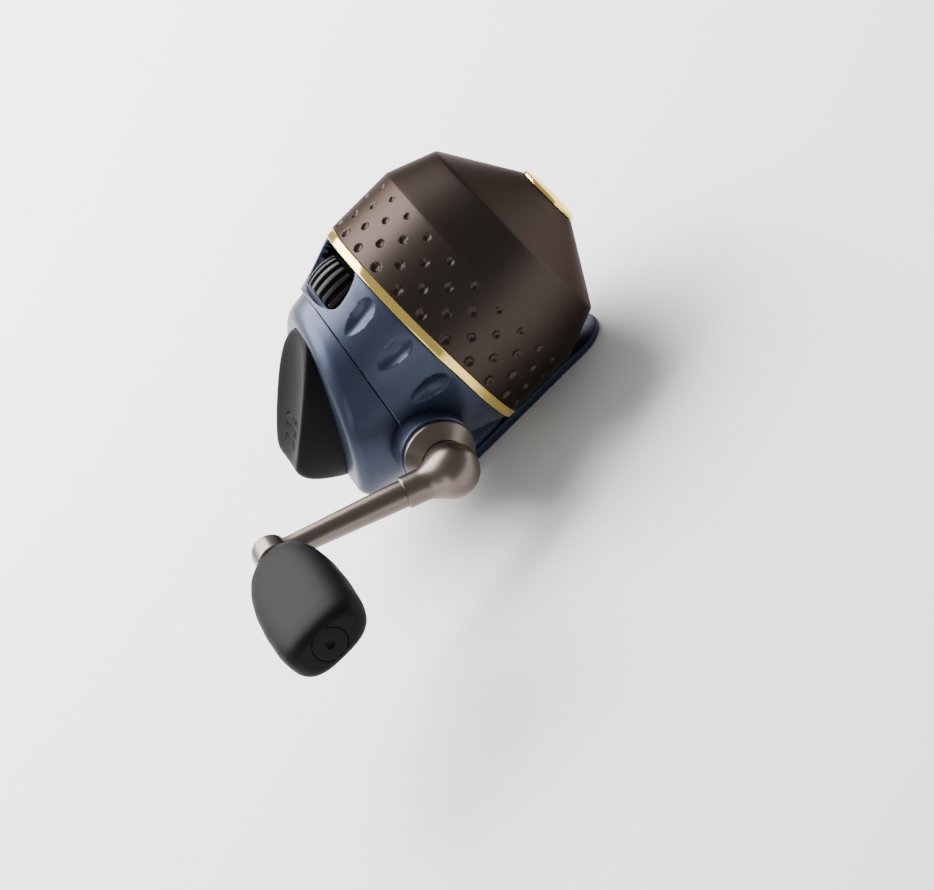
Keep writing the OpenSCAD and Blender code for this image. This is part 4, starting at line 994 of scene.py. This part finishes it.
def build_arm(s, m):
    """Arm: a tapered rod that swells into the boss around the knob's shaft, and that boss turned
    about the knob's axis."""
    length = arm_length()
    distance = np.concatenate([[7.0], np.linspace(12.4, length - 1.0, 40)])
    share = np.clip((distance - 12.6) / (length - 12.6), 0, 1)
    radius = 3.4 - 0.8 * share + 0.9 * np.clip((distance - length + 7.5) / 6.5, 0, 1) ** 3
    turn = np.arange(96) * 2 * math.pi / 96
    d = distance[:, None] + 0 * turn
    rod = along_arm(d, radius[:, None] * np.cos(turn), radius[:, None] * np.sin(turn))
    rod_piece = closed_tube("arm_rod", rod)
    finish_piece(rod_piece, m["handle"], "crank", "gunmetal_handle", "handle_arm")
    low, high = ELBOW_Y - 3.6, ELBOW_Y + 3.6
    outline = rounded([[low, 0.02], [low, 4.5], [high, 4.5], [high, 0.02]], [0.8, 1.9], steps=9)
    boss = closed_tube("arm_boss", turned_y(outline, 128, KNOB_X, KNOB_Z))
    finish_piece(boss, m["handle"], "crank", "gunmetal_handle")


def knob_shares(t):
    """Width and thickness of the paddle at a share of its length, as shares of the greatest, with
    their corners eased by averaging."""
    stations = np.array([0, 0.07, 0.21, 0.38, 0.6, 0.84, 0.95, 1])
    width = np.array([0.42, 0.68, 0.86, 0.96, 1, 0.98, 0.9, 0.74])
    thick = np.array([0.62, 0.76, 0.86, 0.94, 1, 1, 0.93, 0.76])
    offsets = np.linspace(-0.035, 0.035, 9)
    at = [np.clip(t + o, 0, 1) for o in offsets]
    return (np.mean([np.interp(a, stations, width) for a in at], axis=0),
            np.mean([np.interp(a, stations, thick) for a in at], axis=0))


def build_knob(s, m):
    """Paddle knob: superellipse sections of exponent 2.8 along its shaft, rounded over at both ends,
    with an end face that runs in to the plug's seat."""
    columns = 256
    y0, y1 = KNOB_HIGH[1], KNOB_LOW[1]
    t = np.concatenate([
        1 - np.cos(np.linspace(0, 0.5, 12)),
        np.linspace(0.14, 0.86, 46),
        np.cos(np.linspace(0.5, 0, 14))])
    width, thick = knob_shares(t)
    end = np.minimum(t, 1 - t) * (y0 - y1)
    soft = np.where(t > 0.5, 1.5, 0.8)
    inset = np.where(end < soft, soft - np.sqrt(np.clip(soft ** 2 - (soft - end) ** 2, 0, None)), 0)
    a = np.arange(columns) * 2 * math.pi / columns
    c, k = np.cos(a), np.sin(a)
    exponent = 2.8
    wide = np.sign(k) * np.abs(k) ** (2 / exponent)
    tall = np.sign(c) * np.abs(c) ** (2 / exponent)
    x = (width * s["knob_half_w"] - inset)[:, None] * wide
    z = (thick * s["knob_half_t"] - inset)[:, None] * tall
    y = (y0 + (y1 - y0) * t)[:, None] + 0 * a
    body = np.stack([KNOB_X + x, y, KNOB_Z + z], axis=-1)
    seat = np.stack([KNOB_X + 4.5 * k, y1 + 0 * a, KNOB_Z + 4.5 * c], axis=-1)
    face = body[-1] + (seat - body[-1]) * np.linspace(0, 1, 7)[1:, None, None]
    hole = seat + np.array([[0.25], [1.6]])[:, :, None] * np.array([0, 1.0, 0])
    first = np.stack([KNOB_X + 3.1 * k, y0 + 0 * a, KNOB_Z + 3.1 * c], axis=-1)
    grid = np.concatenate([first[None], body, face, hole])
    knob = closed_tube("knob_paddle", grid, sharp=45)
    finish_piece(knob, m["soft_black"], "knob", "soft_touch", "knob")


def build_plug(s, m):
    """Plug in the knob's end: a disc with a rounded edge and a small round dimple."""
    face = KNOB_LOW[1]
    outline = rounded(
        [[face + 1.6, 4.38], [face, 4.38], [face, 1.25], [face + 0.8, 0.6], [face + 0.8, 0.02]],
        [0.35, 0.2, 0.15])
    plug = closed_tube("plug_disc", turned_y(outline, 96, KNOB_X, KNOB_Z))
    finish_piece(plug, m["soft_black"], "knob", "soft_touch", "knob_plug")


# ---------------------------------------------------------------------------------------------------
# Foot
# ---------------------------------------------------------------------------------------------------

def build_foot(s, m):
    """Foot: a plate with round, thinning ends, built as rings round its plan from the underside's
    middle over the edge to the top's middle, and a stem whose sides flare into plate and housing."""
    half_len, half_w = FOOT_HIGH[0], FOOT_HIGH[1]
    columns = 200
    a = np.arange(columns) * 2 * math.pi / columns
    straight = half_len - half_w
    cx = np.clip(half_len * 1.3 * np.cos(a), -straight, straight)
    outward = np.stack([half_len * 1.3 * np.cos(a) - cx, half_w * np.sin(a)], axis=-1)
    outward = outward / np.linalg.norm(outward, axis=1)[:, None]
    centre = np.stack([cx, 0 * cx], axis=-1)
    rings = []
    rounds = ((0.02, 0), (0.95, 0), (0.985, 0.08), (1, 0.3), (1, 0.7), (0.985, 0.92), (0.94, 1), (0.5, 1),
              (0.02, 1))
    for share, level in rounds:
        plan = centre + outward * half_w * share
        top = np.minimum(2.5, 1.4 + (half_len - np.abs(plan[:, 0])) * 0.08)
        rings.append(np.column_stack([plan, top * level - FOOT_HEIGHT]))
    plate = closed_tube("foot_plate", np.array(rings), sharp=50)
    finish_piece(plate, m["blue"], "reel_body", "blue_paint", "reel_foot")
    c, k = np.cos(a), np.sin(a)
    u = np.sign(c) * np.abs(c) ** 0.45
    v = np.sign(k) * np.abs(k) ** 0.45
    rows = np.linspace(0, 1, 25)[:, None]
    flare = 1.3 * (1 - np.minimum(rows, 0.25) / 0.25) ** 2 + 1.6 * np.clip((rows - 0.7) / 0.3, 0, 1) ** 2
    x = -8.2 + (6.6 + flare * 0.6) * u
    y = (6.0 + flare * 0.5) * v
    under = -np.sqrt(np.clip(profile_r(BODY_PROFILE, x) ** 2 - y ** 2, 0, None)) + 0.4
    z = (2.3 - FOOT_HEIGHT) * (1 - rows) + under * rows
    stem = closed_tube("foot_stem", np.stack([x, y, z], axis=-1), sharp=50)
    finish_piece(stem, m["blue"], "reel_body", "blue_paint")


# ---------------------------------------------------------------------------------------------------
# Stage
# ---------------------------------------------------------------------------------------------------

# Point that the camera and the lights look at
TARGET = (-0.01286, -0.01659, 0.01131)


def aim(thing, direction, distance, roll=0.0):
    """Puts a light or camera at a distance from the target, looking at it, turned by a roll."""
    spot = np.array(TARGET) + np.array(direction) / np.linalg.norm(direction) * distance
    turn = Vector(direction).to_track_quat("Z", "Y").to_matrix().to_4x4()
    thing.matrix_world = Matrix.Translation(Vector(spot)) @ turn @ Matrix.Rotation(roll, 4, "Z")


def soft_light(name, direction, distance, size, power):
    """Rectangular area light pointing at the target."""
    data = bpy.data.lights.new(name, "AREA")
    data.shape = "RECTANGLE"
    data.size, data.size_y = size
    data.energy = power
    light = bpy.data.objects.new(name, data)
    bpy.context.scene.collection.objects.link(light)
    aim(light, direction, distance)
    return light


def build_camera(studio):
    """Camera on a sphere around its target, by azimuth, elevation and roll."""
    data = bpy.data.cameras.new("studio_camera")
    data.lens = studio.lens
    data.sensor_width = 36
    camera = bpy.data.objects.new("studio_camera", data)
    bpy.context.scene.collection.objects.link(camera)
    level = math.cos(studio.elevation)
    direction = (
        math.sin(studio.azimuth) * level, -math.cos(studio.azimuth) * level, math.sin(studio.elevation))
    aim(camera, direction, studio.distance, studio.roll)
    bpy.context.scene.camera = camera


def build_stage_pieces():
    """Pale floor, soft lights and an even world."""
    studio = bpy.context.scene.reel_studio
    build_camera(studio)
    half, z = 3.0, -0.0004
    corners = [[-half, -half, z], [half, -half, z], [half, half, z], [-half, half, z]]
    mesh = bpy.data.meshes.new("floor")
    mesh.from_pydata(corners, [], [[0, 1, 2, 3]])
    floor = bpy.data.objects.new("floor", mesh)
    bpy.context.scene.collection.objects.link(floor)
    pale, _, _ = surface_material("pale_floor", linear("#f6f6f5"), Roughness=0.9)
    mesh.materials.append(pale)
    key = soft_light("key_light", (-0.25, 0.62, 0.8), 0.75, (0.9, 0.7), studio.key)
    fill = soft_light("fill_light", (-0.7, -0.7, 0.2), 0.9, (0.5, 0.5), studio.fill)
    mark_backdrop(floor, key, fill)
    world = bpy.data.worlds.new("studio_world")
    world.use_nodes = True
    background = world.node_tree.nodes["Background"]
    background.inputs["Color"].default_value = (1, 1, 1, 1)
    background.inputs["Strength"].default_value = studio.world
    bpy.context.scene.world = world


# ---------------------------------------------------------------------------------------------------
# Add-on
# ---------------------------------------------------------------------------------------------------

def run_pieces(*builders):
    """Runs builders with the scene's sizes and finishes."""
    for build in builders:
        build(sizes(), finishes())
    return {"FINISHED"}


class REEL_OT_finishes(Operator):
    """Makes the finishes and gives them to the CAD nodes"""
    bl_idname = "reel.finishes"
    bl_label = "Finishes"

    def execute(self, context):
        made = make_materials()
        slots = {part["node"]: part["material_slot"] for part in frame["record"]["subparts"]}
        for node, piece in frame["nodes"].items():
            piece.data.materials.clear()
            piece.data.materials.append(made[SLOT_FINISH[slots[node]]])
        return {"FINISHED"}


class REEL_OT_cover(Operator):
    """Builds the dimpled cover, the line guide and the trim ring"""
    bl_idname = "reel.cover"
    bl_label = "Cover"

    def execute(self, context):
        return run_pieces(build_cover, build_line_guide, build_trim_ring)


class REEL_OT_body(Operator):
    """Builds the housing with its boss and mark, the rear cover and the foot"""
    bl_idname = "reel.body"
    bl_label = "Body"

    def execute(self, context):
        return run_pieces(build_housing, build_boss, build_mark, build_rear_cover, build_foot)


class REEL_OT_controls(Operator):
    """Builds the thumb button and the drag dial"""
    bl_idname = "reel.controls"
    bl_label = "Controls"

    def execute(self, context):
        return run_pieces(build_button, build_dial)


class REEL_OT_handle(Operator):
    """Builds the hub, the elbow, the arm and the knob"""
    bl_idname = "reel.handle"
    bl_label = "Handle"

    def execute(self, context):
        return run_pieces(build_hub, build_elbow, build_arm, build_knob, build_plug)


class REEL_OT_stage(Operator):
    """Builds the camera, the floor and the lights"""
    bl_idname = "reel.stage"
    bl_label = "Stage"

    def execute(self, context):
        build_stage_pieces()
        return {"FINISHED"}


class REEL_PT_panel(Panel):
    """The reel's settings and build steps"""
    bl_label = "Spincast Reel"
    bl_space_type = "VIEW_3D"
    bl_region_type = "UI"
    bl_category = "Reel"

    def draw(self, context):
        layout = self.layout
        scene = context.scene
        for group in (scene.reel_sizes, scene.reel_colours, scene.reel_studio):
            box = layout.box()
            for name in group.__annotations__:
                box.prop(group, name)
        for operator in OPERATORS:
            layout.operator(operator.bl_idname)


OPERATORS = (REEL_OT_finishes, REEL_OT_cover, REEL_OT_body, REEL_OT_controls, REEL_OT_handle, REEL_OT_stage)
CLASSES = (ReelSizes, ReelColours, ReelStudio, *OPERATORS, REEL_PT_panel)


def register():
    """Registers the add-on's classes and the scene's settings."""
    for cls in CLASSES:
        bpy.utils.register_class(cls)
    bpy.types.Scene.reel_sizes = PointerProperty(type=ReelSizes)
    bpy.types.Scene.reel_colours = PointerProperty(type=ReelColours)
    bpy.types.Scene.reel_studio = PointerProperty(type=ReelStudio)


def unregister():
    """Undoes register()."""
    del bpy.types.Scene.reel_sizes
    del bpy.types.Scene.reel_colours
    del bpy.types.Scene.reel_studio
    for cls in reversed(CLASSES):
        bpy.utils.unregister_class(cls)


def shown_box():
    """Lowest and highest corner of what is shown, as plain lists."""
    bpy.context.view_layer.update()
    return [list(corner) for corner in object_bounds()]


def main():
    """Builds the reel step by step."""
    register()
    bpy.ops.reel.finishes()
    bpy.ops.reel.cover()
    bpy.ops.reel.body()
    bpy.ops.reel.controls()
    bpy.ops.reel.handle()
    bpy.ops.reel.stage()
    {"cad": CAD_BOX, "visual": shown_box()}


if __name__ == "__main__":
    main()
